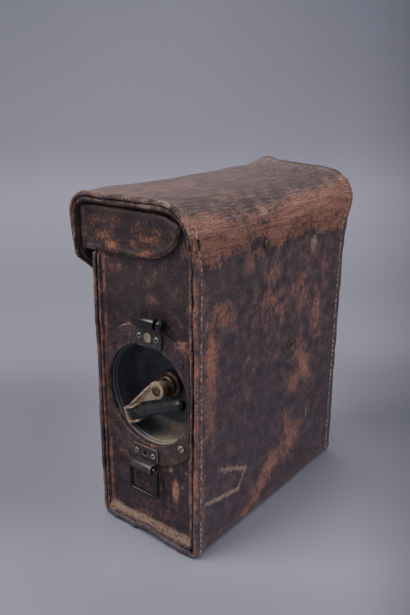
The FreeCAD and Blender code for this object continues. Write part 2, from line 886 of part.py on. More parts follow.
def crank_arm():
    """Pressed arm: an eye at the hub, a tapered web and a yoke round the handle's knuckle."""
    along, pivot_way, pivot = handle_frame()
    x0 = bowl_floor + arm_stand
    web_x = V(x0, 0, 0)
    half = yoke_inner_width / 2
    wall = yoke_wall
    in_plane = V(0, pivot.y, pivot.z)
    base = in_plane - along * (pivot_to_yoke_wall + wall)
    corner = web_x + base - pivot_way * (half + wall)
    web = oriented_box(corner, along, pivot_way, X, yoke_length, 2 * (half + wall), arm_thickness)
    back = oriented_box(corner, along, pivot_way, X, wall, 2 * (half + wall), yoke_depth)
    near = oriented_box(corner, along, pivot_way, X, yoke_length, wall, yoke_depth)
    far = oriented_box(corner + pivot_way * (2 * half + wall), along, pivot_way, X,
                       yoke_length, wall, yoke_depth)
    eye = rod(eye_radius, V(x0, 0, hub_height), X, arm_thickness)
    sleeve = rod(arm_hub_radius, V(x0 - arm_hub_length, 0, hub_height), X, arm_hub_length)
    tip_a = corner + along * yoke_length * 0.85
    tip_b = corner + pivot_way * (half + wall)
    to_a = (tip_a - V(x0, 0, hub_height)).normalize()
    side = X.cross(to_a).normalize()
    eye_a = V(x0, 0, hub_height) + side * eye_radius * 0.97
    eye_b = V(x0, 0, hub_height) - side * eye_radius * 0.97
    corners = [eye_a, eye_b, tip_a, corner] if (eye_b - tip_a).Length < (eye_a - tip_a).Length \
        else [eye_b, eye_a, tip_a, corner]
    taper = Part.Face(Part.makePolygon(corners + corners[:1])).extrude(X * arm_thickness)
    edge_way = (corners[3] - corners[0]).normalize()
    inward = X.cross(edge_way).normalize()
    if inward.dot(tip_a - corners[0]) < 0:
        inward = inward * -1
    lip_start = corners[0] + edge_way * arm_lip_start
    lip_length = (corners[3] - lip_start).Length
    lip = oriented_box(lip_start, edge_way, inward, X, lip_length, wall, yoke_depth * 0.42)
    arm = fused([eye, sleeve, taper, web, back, near, far, lip])
    reach = half + wall + cut_past
    arm = arm.cut(rod(pivot_pin_radius + running_play, pivot - pivot_way * reach, pivot_way, 2 * reach))
    sleeve_start = V(x0 - arm_hub_length - cut_past, 0, hub_height)
    arm = arm.cut(rod(shaft_radius + press_gap, sleeve_start, X, arm_hub_length + cut_past))
    return arm.cut(rod(crank_screw_shank_radius + seam_gap, V(x0 - cut_past, 0, hub_height), X, half_length))


def crank_screw():
    start = V(arm_face(), 0, hub_height)
    head = slotted_head(crank_screw_radius, crank_screw_head, start, X, V(0, 0.5, 0.87))
    foot = shaft_end() - crank_screw_thread
    shank = rod(crank_screw_shank_radius, V(foot, 0, hub_height), X, arm_face() - foot)
    return fused([head, shank])


def handle_pivot_pin():
    along, pivot_way, pivot = handle_frame()
    half = yoke_inner_width / 2 + yoke_wall
    pin = rod(pivot_pin_radius, pivot - pivot_way * half, pivot_way, 2 * half)
    r = pivot_head_radius
    heads = [turned([(0, 0), (r, 0), (r * 0.7, pivot_head), (0, pivot_head)],
                    pivot + pivot_way * half * side, pivot_way * side) for side in (-1, 1)]
    return fused([pin] + heads)


def handle_ferrule():
    """Knuckle on the pivot pin, a ribbed ferrule and the spindle that the grip turns on."""
    along, pivot_way, pivot = handle_frame()
    width = yoke_inner_width - 2 * side_play
    knuckle = rod(knuckle_radius, pivot - pivot_way * (width / 2), pivot_way, width)
    r = ferrule_radius
    profile = [(0, 0), (r, 0)]
    start = knuckle_radius - 2 * seam_gap
    pitch = (ferrule_length - start) / (ferrule_ribs + 0.5)
    for i in range(ferrule_ribs):
        h = start + pitch * (i + 0.25)
        profile += [(r, h), (r + ferrule_rib, h + pitch * 0.2), (r + ferrule_rib, h + pitch * 0.5),
                    (r, h + pitch * 0.7)]
    end = ferrule_length + side_play + grip_length
    profile += [(r, ferrule_length), (spindle_radius, ferrule_length), (spindle_radius, end + side_play),
                (rivet_end_radius, end + side_play), (rivet_end_radius * 0.7, end + side_play + rivet_end_head),
                (0, end + side_play + rivet_end_head)]
    stem = turned(profile, pivot, along)
    ferrule = fused([knuckle, stem])
    reach = width / 2 + cut_past
    return ferrule.cut(rod(pivot_pin_radius + running_play, pivot - pivot_way * reach, pivot_way, 2 * reach))


def handle_grip():
    along, pivot_way, pivot = handle_frame()
    start = ferrule_length + side_play
    r = grip_radius
    bore = spindle_radius + running_play
    end = start + grip_length
    edge = grip_edge
    neck = r - grip_waist / 2
    profile = [(bore, start), (neck - edge / 2, start), (neck, start + edge), (neck, start + grip_band),
               (r - grip_waist, start + grip_length * 0.4), (r, start + grip_length * 0.75),
               (r, end - 2 * edge), (r - edge, end), (bore, end)]
    return turned(profile, pivot, along)


# Hand generator

def gear_outline(teeth, x, centre, phase):
    """Involute gear outline with a little backlash."""
    pitch = gear_module * teeth / 2
    press = math.radians(pressure_angle)
    base = pitch * math.cos(press)
    tip = pitch + gear_module
    root = pitch - 1.25 * gear_module
    flank = max(base, root)
    spread = math.tan(press) - press
    half_tooth = math.pi / (2 * teeth) - tooth_backlash / (2 * pitch)
    radii = [flank + (tip - flank) * k / 3 for k in range(4)]
    side = []
    for r in radii:
        roll = math.acos(min(1, base / r))
        side.append((r, half_tooth + spread - (math.tan(roll) - roll)))
    points = []
    for n in range(teeth):
        middle = phase + 2 * math.pi * n / teeth
        stroke = [(root, -side[0][1])] if root < flank - 1e-6 else []
        stroke += [(r, -a) for r, a in side]
        stroke += [(r, a) for r, a in reversed(side)]
        if root < flank - 1e-6:
            stroke.append((root, side[0][1]))
        for r, a in stroke:
            angle = middle + a
            points.append(V(x, centre.y + r * math.cos(angle), centre.z + r * math.sin(angle)))
    return Part.makePolygon(points + points[:1])


def armature_centre():
    distance = gear_module * (gear_teeth + pinion_teeth) / 2
    return V(0, 0, hub_height - distance)


def drive_gear():
    x = gear_place()
    blank = Part.Face(gear_outline(gear_teeth, x, hub, -math.pi / 2)).extrude(X * gear_width)
    pitch = gear_module * gear_teeth / 2
    groove = ring(pitch - gear_rim, gear_hub_radius, V(x, 0, hub_height), X, gear_width - gear_web)
    gear = blank.cut(groove)
    hole_circle = (pitch - gear_rim + gear_hub_radius) / 2
    for k in range(gear_holes):
        a = math.pi / 2 + 2 * math.pi * k / gear_holes
        hole = V(x, hole_circle * math.cos(a), hub_height + hole_circle * math.sin(a))
        gear = gear.cut(rod(gear_hole_radius, hole, X, gear_width))
    return gear.cut(rod(shaft_radius + press_gap, V(x, 0, hub_height), X, gear_width))


def pinion():
    centre = armature_centre()
    phase = math.pi / 2 + math.pi / pinion_teeth
    x = gear_place()
    blank = Part.Face(gear_outline(pinion_teeth, x, centre, phase)).extrude(X * gear_width)
    return blank.cut(rod(armature_shaft_radius + press_gap, V(x, centre.y, centre.z), X, gear_width))


def armature_core():
    """Shuttle armature: a cylinder with two deep slots for the winding, on its shaft."""
    centre = armature_centre()
    x0 = armature_start()
    core = rod(armature_radius, V(x0, centre.y, centre.z), X, armature_length)
    half = armature_radius / 2
    for side in (-1, 1):
        y0, y1 = sorted((side * armature_waist / 2, side * (armature_radius + cut_past)))
        core = core.cut(box(x0, x0 + armature_length, y0, y1, centre.z - half, centre.z + half))
    end = generator_front() + shaft_tail
    start = generator_back() - generator_plate - shaft_tail
    shaft = rod(armature_shaft_radius, V(start, centre.y, centre.z), X, end - start)
    return fused([core, shaft])


def armature_start():
    return generator_back() + armature_end_gap


def armature_winding():
    """Wire laid lengthwise in the armature's two slots."""
    centre = armature_centre()
    x0 = armature_start()
    half = armature_radius / 2 - winding_gap
    coils = []
    for side in (-1, 1):
        y0 = armature_waist / 2 + seam_gap
        block = box(x0 - winding_overhang, x0 + armature_length + winding_overhang,
                    y0, armature_radius * 0.82, -half, half)
        long_edges = [e for e in block.Edges if e.BoundBox.XLength > armature_length]
        block = block.makeFillet(winding_round, long_edges)
        if side < 0:
            block = block.mirror(V(0, 0, 0), Y)
        block.translate(centre)
        coils.append(block)
    return Part.makeCompound(coils)


def generator_plates():
    plates = []
    centre = armature_centre()
    half = generator_half_width
    low = generator_low()
    top = hub_height + generator_rise
    for x in (generator_front() - generator_plate, generator_back() - generator_plate):
        corners = [(-half, low, plate_foot_corner), (plate_seat, low, plate_seat_corner),
                   (plate_seat, top, plate_seat_corner), (-half, top, plate_top_corner)]
        plate = slab(corners, x, x + generator_plate)
        bores = [(shaft_radius + running_play, 0, hub_height),
                 (armature_shaft_radius + running_play, centre.y, centre.z)]
        bores += [(spacer_radius - spacer_step + seam_gap, y, z) for y, z in spacer_places()]
        for radius, y, z in bores:
            plate = plate.cut(rod(radius, V(x, y, z), X, generator_plate))
        plates.append(plate)
    return Part.makeCompound(plates)


def generator_low():
    return armature_centre().z - armature_radius - pole_thickness - magnet_thickness - plate_foot


def spacer_places():
    inset = spacer_radius + spacer_edge
    half = generator_half_width - inset
    low = generator_low() + inset
    high = hub_height + generator_rise - inset
    return [(-half, low), (half, low), (-half, high), (half, high)]


def generator_spacers():
    """Four shouldered pillars that tie the generator's two plates together."""
    pillars = []
    for y, z in spacer_places():
        body = rod(spacer_radius, V(generator_back(), y, z), X, generator_length - generator_plate)
        start = generator_back() - generator_plate - spacer_end
        thin = rod(spacer_radius - spacer_step, V(start, y, z), X, generator_front() + spacer_end - start)
        pillars.append(fused([body, thin]))
    return Part.makeCompound(pillars)


def pole_pieces():
    """Two iron shoes bored to the armature, one each side."""
    centre = armature_centre()
    x0 = armature_start() - pole_overhang
    x1 = armature_start() + armature_length + pole_overhang
    bore = rod(armature_radius + air_gap, V(x0, centre.y, centre.z), X, x1 - x0)
    width = armature_radius + pole_thickness
    low = centre.z - width
    top = centre.z + armature_radius * 0.86
    shoes = []
    for side in (-1, 1):
        y0, y1 = sorted((side * pole_gap / 2, side * width))
        shoe = box(x0, x1, y0, y1, low, top)
        shoes.append(shoe.cut(bore))
    return Part.makeCompound(shoes)


def generator_magnets():
    """Horseshoe magnets over the pole pieces, side by side along the shaft."""
    centre = armature_centre()
    inner = armature_radius + pole_thickness + seam_gap
    outer = inner + magnet_thickness
    top = centre.z + armature_radius * 0.86
    low = centre.z - armature_radius - pole_thickness - seam_gap
    magnets = []
    for k in range(magnet_count):
        x = armature_start() + k * magnet_pitch
        shape = slab([(-outer, top), (-outer, low - magnet_thickness, magnet_corner),
                      (outer, low - magnet_thickness, magnet_corner), (outer, top)], x, x + magnet_width)
        magnets.append(shape.cut(box(x, x + magnet_width, -inner, inner, low, top)))
    return Part.makeCompound(magnets)


# Ringer at the foot of the chassis

def ringer_centre():
    middle = (generator_back() + chassis_left) / 2
    return V(middle - ringer_back_shift, 0, chassis_floor + chassis_sheet)


def clapper_pivot():
    return ringer_centre() - X * (clapper_reach - gong_x_offset())


def gong_x_offset():
    return clapper_reach / 2


def ringer_frame():
    """Iron base with an upright for the two coils and a lug for the clapper's spindle."""
    c = ringer_centre()
    p = clapper_pivot()
    t = ringer_sheet
    yoke = c.x + ringer_yoke_ahead
    top = c.z + ringer_yoke_height
    half = ringer_base_width / 2
    base = box(c.x - ringer_base_behind, c.x + ringer_base_ahead, -half, half, c.z, c.z + t)
    upright = box(yoke, yoke + t, -ringer_yoke_width / 2, ringer_yoke_width / 2, c.z, top)
    lug_end = p.x - ringer_lug_width / 2
    lug = box(lug_end, yoke, -ringer_lug_width / 2, ringer_lug_width / 2, top - t, top)
    frame = fused([base, upright, lug])
    return frame.cut(rod(clapper_spindle_radius + running_play, V(p.x, 0, c.z), Z, ringer_yoke_height))


def ringer_coils():
    c = ringer_centre()
    coils = []
    r = ringer_coil_radius
    n = ringer_coil_length
    t = ringer_coil_cheek
    core = ringer_core_radius
    for side in (-1, 1):
        start = V(c.x + ringer_yoke_ahead - n, side * ringer_coil_spacing / 2, c.z + ringer_coil_height)
        coils.append(turned([(0, -ringer_core_end), (core, -ringer_core_end), (core, 0), (r, 0), (r, t),
                             (r - t, t), (r - t, n - t), (r, n - t), (r, n), (0, n)], start, X))
    return Part.makeCompound(coils)


def ringer_gongs():
    """Two spun bells on posts, with a gap between them for the clapper."""
    c = ringer_centre()
    gongs = []
    r = gong_radius
    t = gong_wall
    h = gong_height
    bore = gong_post_radius
    for side in (-1, 1):
        place = V(c.x + gong_x_offset(), side * gong_y, gong_base())
        profile = [(bore, h - t), (r * 0.45, h - t), (r * 0.8, h * 0.66), (r - t, 0), (r, 0),
                   (r * 0.84, h * 0.75), (r * 0.5, h), (bore, h)]
        gongs.append(turned(profile, place, Z))
    return Part.makeCompound(gongs)


def gong_base():
    return ringer_centre().z + gong_stand


def gong_posts():
    c = ringer_centre()
    x = c.x + gong_x_offset()
    top = gong_base() + gong_height
    posts = []
    for side in (-1, 1):
        foot = V(x, side * gong_y, c.z + ringer_sheet)
        post = rod(gong_post_radius - seam_gap, foot, Z, top - foot.z)
        collar_low = top - gong_wall - gong_collar - seam_gap
        collar = rod(gong_collar_radius, V(foot.x, foot.y, collar_low), Z, gong_collar)
        nut = rod(gong_collar_radius, V(foot.x, foot.y, top + seam_gap), Z, gong_nut)
        nut_pin = rod(gong_post_radius - seam_gap, V(foot.x, foot.y, top), Z, gong_nut)
        foot_plate = rod(gong_foot_radius, foot, Z, gong_foot)
        posts.append(fused([post, collar, nut_pin, nut, foot_plate]))
    return Part.makeCompound(posts)


def ringer_clapper():
    """Rocking armature with its rod and ball, on an upright spindle."""
    c = ringer_centre()
    p = clapper_pivot()
    z = c.z + ringer_coil_height
    high = gong_base() + clapper_above_gong_rim
    thick = clapper_bar_thickness / 2
    half = clapper_bar_length / 2
    rise = clapper_bar_height / 2
    foot = c.z + clapper_foot_gap
    bar = box(p.x - thick, p.x + thick, -half, half, z - rise, z + rise)
    boss = rod(clapper_boss_radius, V(p.x, 0, z - rise), Z, clapper_boss_length)
    spindle = rod(clapper_spindle_radius, V(p.x, 0, foot), Z, high - foot)
    arm = rod(clapper_rod_radius, V(p.x, 0, high), X, clapper_reach)
    elbow = Part.makeSphere(clapper_spindle_radius, V(p.x, 0, high))
    ball = Part.makeSphere(clapper_ball_radius, V(p.x + clapper_reach, 0, high))
    return fused([bar, boss, spindle, arm, elbow, ball])


# Chassis, panel, cells and other inner parts

def chassis_frame():
    """Bent sheet: floor, back plate against the leather and partition beside the handset."""
    s = chassis_sheet
    left, right, low, top = chassis_left, chassis_right, chassis_floor, chassis_top
    front, back = -chassis_back, chassis_back
    rail_y = cover_window()[3] + rail_gap
    shelf_right = left + 2 * cell_radius + shelf_margin
    pieces = [box(left, right, front, back, low, low + s),
              box(left, right, back - s, back, low, top),
              box(left, left + s, front, back, low, top),
              box(left, shelf_right, front + shelf_front_gap, back, shelf_low(), shelf_low() + s),
              box(left, right, front, -rail_y, top - s, top),
              box(left, right, rail_y, back - s, top - s, top)]
    frame = fused(pieces)
    for x, y in panel_screw_places():
        frame = frame.cut(rod(panel_screw_shank_radius + seam_gap, V(x, y, top - s), Z, s))
    return frame


def shelf_low():
    return cell_base_height - cell_spring_room - contact_sheet - chassis_sheet


def top_panel():
    z = top_panel_low
    half = inner_y - top_panel_margin
    plate = box(chassis_left, panel_back - top_panel_margin, -half, half, z, top_panel_high)
    edges = [e for e in plate.Edges if e.BoundBox.ZLength > top_panel_thickness / 2]
    plate = plate.makeFillet(top_panel_corner, edges)
    holes = [(panel_screw_shank_radius + seam_gap, x, y) for x, y in panel_screw_places()]
    holes += [(button_stem_radius + button_play, x, y) for x, y in terminal_places()]
    for radius, x, y in holes:
        plate = plate.cut(rod(radius, V(x, y, z), Z, top_panel_thickness))
    sx, sy = selector_place()
    plate = plate.cut(rod(selector_radius + button_play, V(sx, sy, z + selector_seat), Z, top_panel_thickness))
    x0, x1, y0, y1 = cover_window()
    return plate.cut(box(x0, x1, y0, y1, z, top_panel_high))


def cover_window():
    x0 = chassis_left + cover_from_partition
    x1 = x0 + 2 * cell_radius + cell_window_room
    half = 2 * cell_radius + cell_side_room
    return x0, x1, -half, half


def panel_screw_places():
    half = inner_y - top_panel_margin - panel_screw_inset
    beside_cover = cover_window()[1] + panel_screw_beside_cover
    return [(x, y) for x in (beside_cover, chassis_right - panel_screw_end_inset) for y in (-half, half)]


def terminal_places():
    x = chassis_right - terminal_from_end
    return [(x, -terminal_spacing / 2), (x, terminal_spacing / 2)]


def selector_place():
    return chassis_right - selector_from_end, selector_from_middle


def panel_screws():
    screws = []
    for x, y in panel_screw_places():
        head = slotted_head(panel_screw_radius, panel_screw_head, V(x, y, top_panel_high), Z, V(0.8, 0.6, 0))
        start = V(x, y, top_panel_high - panel_screw_length)
        screws.append(fused([head, rod(panel_screw_shank_radius, start, Z, panel_screw_length)]))
    return Part.makeCompound(screws)


def terminal_posts():
    """Spring binding posts: a turned barrel on the panel with a wire slot."""
    z = top_panel_high
    r = terminal_radius
    h = terminal_height
    inner = button_radius + button_play
    neck = r - terminal_step
    half = terminal_wire_slot / 2
    posts = []
    for x, y in terminal_places():
        barrel = turned([(inner, 0), (r, 0), (r, terminal_collar), (neck, terminal_collar + terminal_step),
                         (neck, h), (inner, h)], V(x, y, z), Z)
        slot = box(x - half, x + half, y - r, y + r, z + terminal_wire_low, z + terminal_wire_high)
        posts.append(barrel.cut(slot))
    return Part.makeCompound(posts)


def terminal_button(place):
    z = top_panel_high
    x, y = place
    r = button_radius
    low = z + button_travel + button_lift
    high = z + button_stand
    edge = button_edge
    cap = turned([(0, low), (r, low), (r, high - edge), (r - edge, high), (0, high)], V(x, y, 0), Z)
    foot = top_panel_low - button_stem_below
    button = fused([cap, rod(button_stem_radius, V(x, y, foot), Z, low - foot)])
    return button.cut(rod(button_hole_radius, V(x, y - r, z + button_hole_height), Y, 2 * r))


def selector_screw():
    x, y = selector_place()
    start = V(x, y, top_panel_low + selector_seat + seam_gap)
    return slotted_head(selector_radius, top_panel_thickness + selector_proud, start, Z, Y)


def dry_cells():
    cells = []
    r = cell_radius
    n = cell_length - cell_cap_height
    edge = cell_edge
    for y in cell_rows():
        profile = [(0, 0), (r - edge, 0), (r, edge), (r, n - edge), (r - edge, n), (cell_cap_radius, n),
                   (cell_cap_radius, cell_length), (0, cell_length)]
        cells.append(turned(profile, V(cell_x, y, cell_base_height), Z))
    return Part.makeCompound(cells)


def cell_rows():
    middle = cell_radius + cell_gap / 2
    return -middle, middle


def cell_contacts():
    """Spring strips: one under both cells, and one on each cap under the cover."""
    low = shelf_low() + chassis_sheet + seam_gap
    high = low + contact_sheet
    half = contact_width / 2
    end = cell_rows()[1] + contact_overhang
    spring = [box(cell_x - half, cell_x + half, -end, end, low, high)]
    bump = cell_base_height - high - seam_gap
    for y in cell_rows():
        profile = [(0, 0), (contact_bump_radius, 0), (contact_bump_tip_radius, bump), (0, bump)]
        spring.append(turned(profile, V(cell_x, y, high), Z))
    strips = [fused(spring)]
    top = cell_base_height + cell_length + seam_gap
    for y in cell_rows():
        strips.append(box(cell_x - contact_cap_width / 2, cell_x + contact_cap_width / 2,
                          y - contact_cap_length / 2, y + contact_cap_length / 2, top, top + contact_sheet))
    return Part.makeCompound(strips)


def battery_cover():
    x0, x1, y0, y1 = cover_window()
    low = top_panel_low - cover_lip
    plate = box(x0 + cover_play, x1 - cover_play, y0 + cover_play, y1 - cover_play, low, top_panel_high)
    edges = [e for e in plate.Edges if e.BoundBox.ZLength > top_panel_thickness]
    plate = plate.makeFillet(cover_corner, edges)
    r = cover_pull_radius
    h = cover_pull_height
    pull = turned([(0, 0), (r, 0), (r, h / 2), (r * 0.7, h), (0, h)], V((x0 + x1) / 2, 0, top_panel_high), Z)
    foot = cell_base_height + cell_length + contact_sheet + 2 * seam_gap
    posts = [rod(cover_post_radius, V(cell_x, y, foot), Z, low - foot) for y in cell_rows()]
    return fused([plate, pull] + posts)


def induction_coil():
    """Wound bobbin with square cheeks, lying across the chassis above the generator."""
    x0 = cover_window()[1] + coil_beside_cells
    x1 = chassis_right - coil_end_gap
    half = coil_half
    y = plate_seat - half
    z = hub_height + generator_rise + coil_above_generator + half
    core = rod(coil_core_radius, V(x0, y, z), X, x1 - x0)
    cheeks = [box(x, x + coil_cheek, y - half, y + half, z - half, z + half) for x in (x0, x1 - coil_cheek)]
    iron = rod(coil_iron_radius, V(x0 - coil_iron_end, y, z), X, x1 - x0 + 2 * coil_iron_end)
    return fused([core, iron] + cheeks)


def capacitor():
    """Folded metal can with two lugs, screwed to the back plate under the cells' shelf."""
    x0 = chassis_left + chassis_sheet + capacitor_from_partition
    y0 = plate_seat - capacitor_depth
    z1 = shelf_low() - capacitor_below_shelf
    z0 = z1 - capacitor_height
    can = box(x0, x0 + capacitor_width, y0, plate_seat, z0, z1)
    edges = [e for e in can.Edges if e.BoundBox.YLength > capacitor_depth / 2]
    can = can.makeFillet(capacitor_corner, edges)
    x = x0 + capacitor_width / 2
    middle = (z0 + z1) / 2
    lugs = [rod(capacitor_lug_radius, V(x, y0, middle + side * capacitor_lug_spacing / 2), -Y,
                capacitor_lug_length) for side in (-1, 1)]
    return fused([can] + lugs)


# Handset standing in the left compartment

def cup_heights():
    reach = cap_radius + cup_end_gap
    return handset_base + reach, handset_top - reach


def handset_body():
    """Moulded body: a curved grip with a cup at each end, both facing the front."""
    low, high = cup_heights()
    r = cup_radius
    n = cup_depth
    profile = [(0, 0), (r * 0.62, 0), (r * 0.94, n * 0.45), (r, n * 0.75), (r, n), (0, n)]
    cups = [turned(profile, V(handset_x, handset_back - cup_forward, z), -Y) for z in (low, high)]
    half = handle_width / 2
    middle = box(handset_x - half, handset_x + half, handset_back - handle_depth, handset_back, low, high)
    long_edges = [e for e in middle.Edges if e.BoundBox.ZLength > (high - low) / 2]
    middle = middle.makeFillet(handle_round, long_edges)
    return fused([middle] + cups).cut(talk_window())


def talk_box(play, y0, y1):
    """Block round the talk switch, wider and longer than it by the play on each side."""
    low, high = cup_heights()
    middle = (low + high) / 2 + talk_switch_above_middle
    half = talk_switch_length / 2 + play
    width = talk_switch_width / 2 + play
    return box(handset_x - width, handset_x + width, y0, y1, middle - half, middle + half)


def talk_window():
    """Slot in the grip's front that the talk switch sits in."""
    front = handset_back - handle_depth
    return talk_box(talk_switch_play, front - cut_past, front + talk_slot_depth)


def talk_switch():
    """Press bar in the grip, over a spring inside it."""
    front = handset_back - handle_depth
    low = front - talk_switch_proud
    bar = talk_box(0, low, front + talk_switch_seat)
    edges = [e for e in bar.Edges if e.BoundBox.YMax < low + 1e-3 and e.BoundBox.XLength > 1e-3]
    return bar.makeFillet(talk_switch_round, edges)


def handset_cap(z, hole_rings):
    """Screwed cap over a cup, with one sound hole in the middle and rings of them round it."""
    y = handset_back - cup_forward - cup_depth - seam_gap
    r = cap_radius
    face = cap_depth - cap_dish
    profile = [(0, 0), (cup_radius - cap_thread_step, 0), (r, cap_edge), (r, cap_depth * 0.6),
               (r - cap_rim, cap_depth), (r * 0.45, face), (0, face)]
    cap = turned(profile, V(handset_x, y, z), -Y)
    cap = cap.cut(rod(r - cap_hollow_step, V(handset_x, y, z), -Y, face - cap_wall))
    for n in range(hole_rings):
        radius = n * sound_hole_pitch
        count = max(1, 6 * n)
        for k in range(count):
            a = 2 * math.pi * k / count
            start = V(handset_x + radius * math.cos(a), y, z + radius * math.sin(a))
            cap = cap.cut(rod(sound_hole_radius, start, -Y, cap_depth))
    return cap


def back_screw_spots():
    """Places on the back face, whose heights are measured down from the lid's top."""
    return [(x, case_height + drop) for x, drop in back_screw_places]


def back_screws():
    screws = []
    for x, z in back_screw_spots():
        head = slotted_head(back_screw_radius, back_screw_head, V(x, half_depth, z), Y, V(0.94, 0, -0.34))
        start = chassis_back if z < chassis_top else inner_y - back_screw_end
        shank = rod(back_screw_shank_radius, V(x, start, z), Y, half_depth - start)
        screws.append(fused([head, shank]))
    return Part.makeCompound(screws)


def build():
    low, high = cup_heights()
    places = terminal_places()
    return {
        "case_wrap": case_wrap(),
        "crank_end_panel": end_panel(True),
        "far_end_panel": mirrored_x(end_panel(False)),
        "recess_ring": recess_ring(),
        "ring_screws": ring_screws(),
        "ring_rivets": ring_rivets(),
        "upper_bracket": bracket("upper"),
        "upper_bracket_bar": upper_bracket_bar(),
        "lower_bracket": bracket("lower"),
        "far_bracket": mirrored_x(bracket("far")),
        "bracket_rivets": bracket_rivets(),
        "bracket_screw": bracket_screw(),
        "strap_loop": strap_loop("lower", 1),
        "far_strap_loop": strap_loop("far", -1),
        "back_screws": back_screws(),
        "snap_studs": snap_fastener(-half_depth, -Y, snap_dome, False),
        "snap_sockets": snap_fastener(flap_y, -Y, snap_dome, True),
        "lid_shell": lid_shell(),
        "crank_side_cheek": lid_cheek(),
        "far_side_cheek": mirrored_x(lid_cheek()),
        "crank_bowl": crank_bowl(),
        "crank_bush": crank_bush(),
        "crank_shaft": crank_shaft(),
        "crank_arm": crank_arm(),
        "crank_screw": crank_screw(),
        "drive_gear": drive_gear(),
        "handle_pivot_pin": handle_pivot_pin(),
        "handle_ferrule": handle_ferrule(),
        "handle_grip": handle_grip(),
        "generator_plates": generator_plates(),
        "generator_spacers": generator_spacers(),
        "generator_magnets": generator_magnets(),
        "pole_pieces": pole_pieces(),
        "armature_core": armature_core(),
        "armature_winding": armature_winding(),
        "armature_pinion": pinion(),
        "ringer_frame": ringer_frame(),
        "ringer_coils": ringer_coils(),
        "ringer_gongs": ringer_gongs(),
        "gong_posts": gong_posts(),
        "ringer_clapper": ringer_clapper(),
        "chassis_frame": chassis_frame(),
        "top_panel": top_panel(),
        "panel_screws": panel_screws(),
        "terminal_posts": terminal_posts(),
        "front_terminal_button": terminal_button(places[0]),
        "back_terminal_button": terminal_button(places[1]),
        "selector_screw": selector_screw(),
        "induction_coil": induction_coil(),
        "capacitor": capacitor(),
        "dry_cells": dry_cells(),
        "cell_contacts": cell_contacts(),
        "battery_cover": battery_cover(),
        "handset_body": handset_body(),
        "transmitter_cap": handset_cap(low, transmitter_hole_rings),
        "receiver_cap": handset_cap(high, receiver_hole_rings),
        "talk_switch": talk_switch(),
    }


os.makedirs("parts", exist_ok=True)
for name, shape in build().items():
    if not shape.isValid():
        raise ValueError(name + " is not a valid solid")
    shape.exportStep("parts/" + name + ".step")
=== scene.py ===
"""Looks of a hand-crank field telephone in its leather case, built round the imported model.

Sizes are written in millimetres and turned into metres where a mesh is made.
"""
import json
import math

import bmesh
import bpy
import numpy as np
from mathutils import Matrix, Vector


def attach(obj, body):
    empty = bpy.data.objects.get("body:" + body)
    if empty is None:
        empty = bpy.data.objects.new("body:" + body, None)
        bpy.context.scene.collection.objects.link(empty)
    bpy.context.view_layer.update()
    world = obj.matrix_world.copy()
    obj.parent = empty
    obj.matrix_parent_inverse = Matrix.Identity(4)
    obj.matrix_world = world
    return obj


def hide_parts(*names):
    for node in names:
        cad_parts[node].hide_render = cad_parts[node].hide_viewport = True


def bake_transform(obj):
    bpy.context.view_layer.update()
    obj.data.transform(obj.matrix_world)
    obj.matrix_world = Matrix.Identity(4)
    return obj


bl_info = {
    "name": "Field telephone",
    "version": (1, 0, 0),
    "blender": (4, 5, 0),
    "location": "View3D > Sidebar > Field telephone",
    "description": "Dresses the packed field telephone in leather, brass and black enamel",
    "category": "Object",
}

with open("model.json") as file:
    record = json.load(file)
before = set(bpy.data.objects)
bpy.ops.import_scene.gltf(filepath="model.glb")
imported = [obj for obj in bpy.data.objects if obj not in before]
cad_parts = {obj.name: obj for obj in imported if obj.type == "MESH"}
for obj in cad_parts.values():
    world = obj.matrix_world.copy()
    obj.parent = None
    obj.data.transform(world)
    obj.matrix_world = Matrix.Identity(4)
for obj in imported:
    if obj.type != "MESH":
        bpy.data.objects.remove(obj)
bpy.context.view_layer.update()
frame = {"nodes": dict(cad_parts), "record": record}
NODES = frame["nodes"]
MM = 0.001

# The case's own sizes, in millimetres
HALF_LENGTH = 95.25
HALF_DEPTH = 44.5
HEIGHT = 241.0
WRAP_THICK = 3.2
SOLE_THICK = 5.0
PANEL_X = 91.05
PANEL_THICK = 2.2
FLANGE_Y = 41.15
FLANGE_TOP = 212.0
PANEL_TOP = 224.0
LID_HALF = 98.0
FLAP_Y = -62.5
FLAP_LOW = 156.0
FLAP_CORNER = 199.0
FLAP_SLOPE = math.radians(39)
HUB_Z = 109.0
RECESS_R = 36.4
BOWL_FLOOR = 65.45
CHEEK_X = 91.6
BARE_SCREW = (30.05, 78.95)

# Points in the half round of the leather's rim, between its outer and its inner face
RIM_POINTS = 7

# The photograph's view: place in millimetres, directions, and focal length
CAMERA_PLACE = (373.249, 270.555, 294.598)
CAMERA_FORWARD = (-0.74887, -0.58935, -0.30309)
CAMERA_RIGHT = (-0.6198, 0.78474, 0.00547)
CAMERA_UP = (-0.23462, -0.19195, 0.95295)
CAMERA_LENS = 37.19

# Level directions of the backdrop: away from the camera, and across to its right
AWAY = (-0.786, -0.618, 0)
ACROSS = (-0.618, 0.786, 0)


# Numbers and noise

def smooth(low, high, value):
    t = np.clip((value - low) / (high - low), 0, 1)
    return t * t * (3 - 2 * t)


def bell(value, middle, width):
    return np.exp(-((value - middle) / width) ** 2)


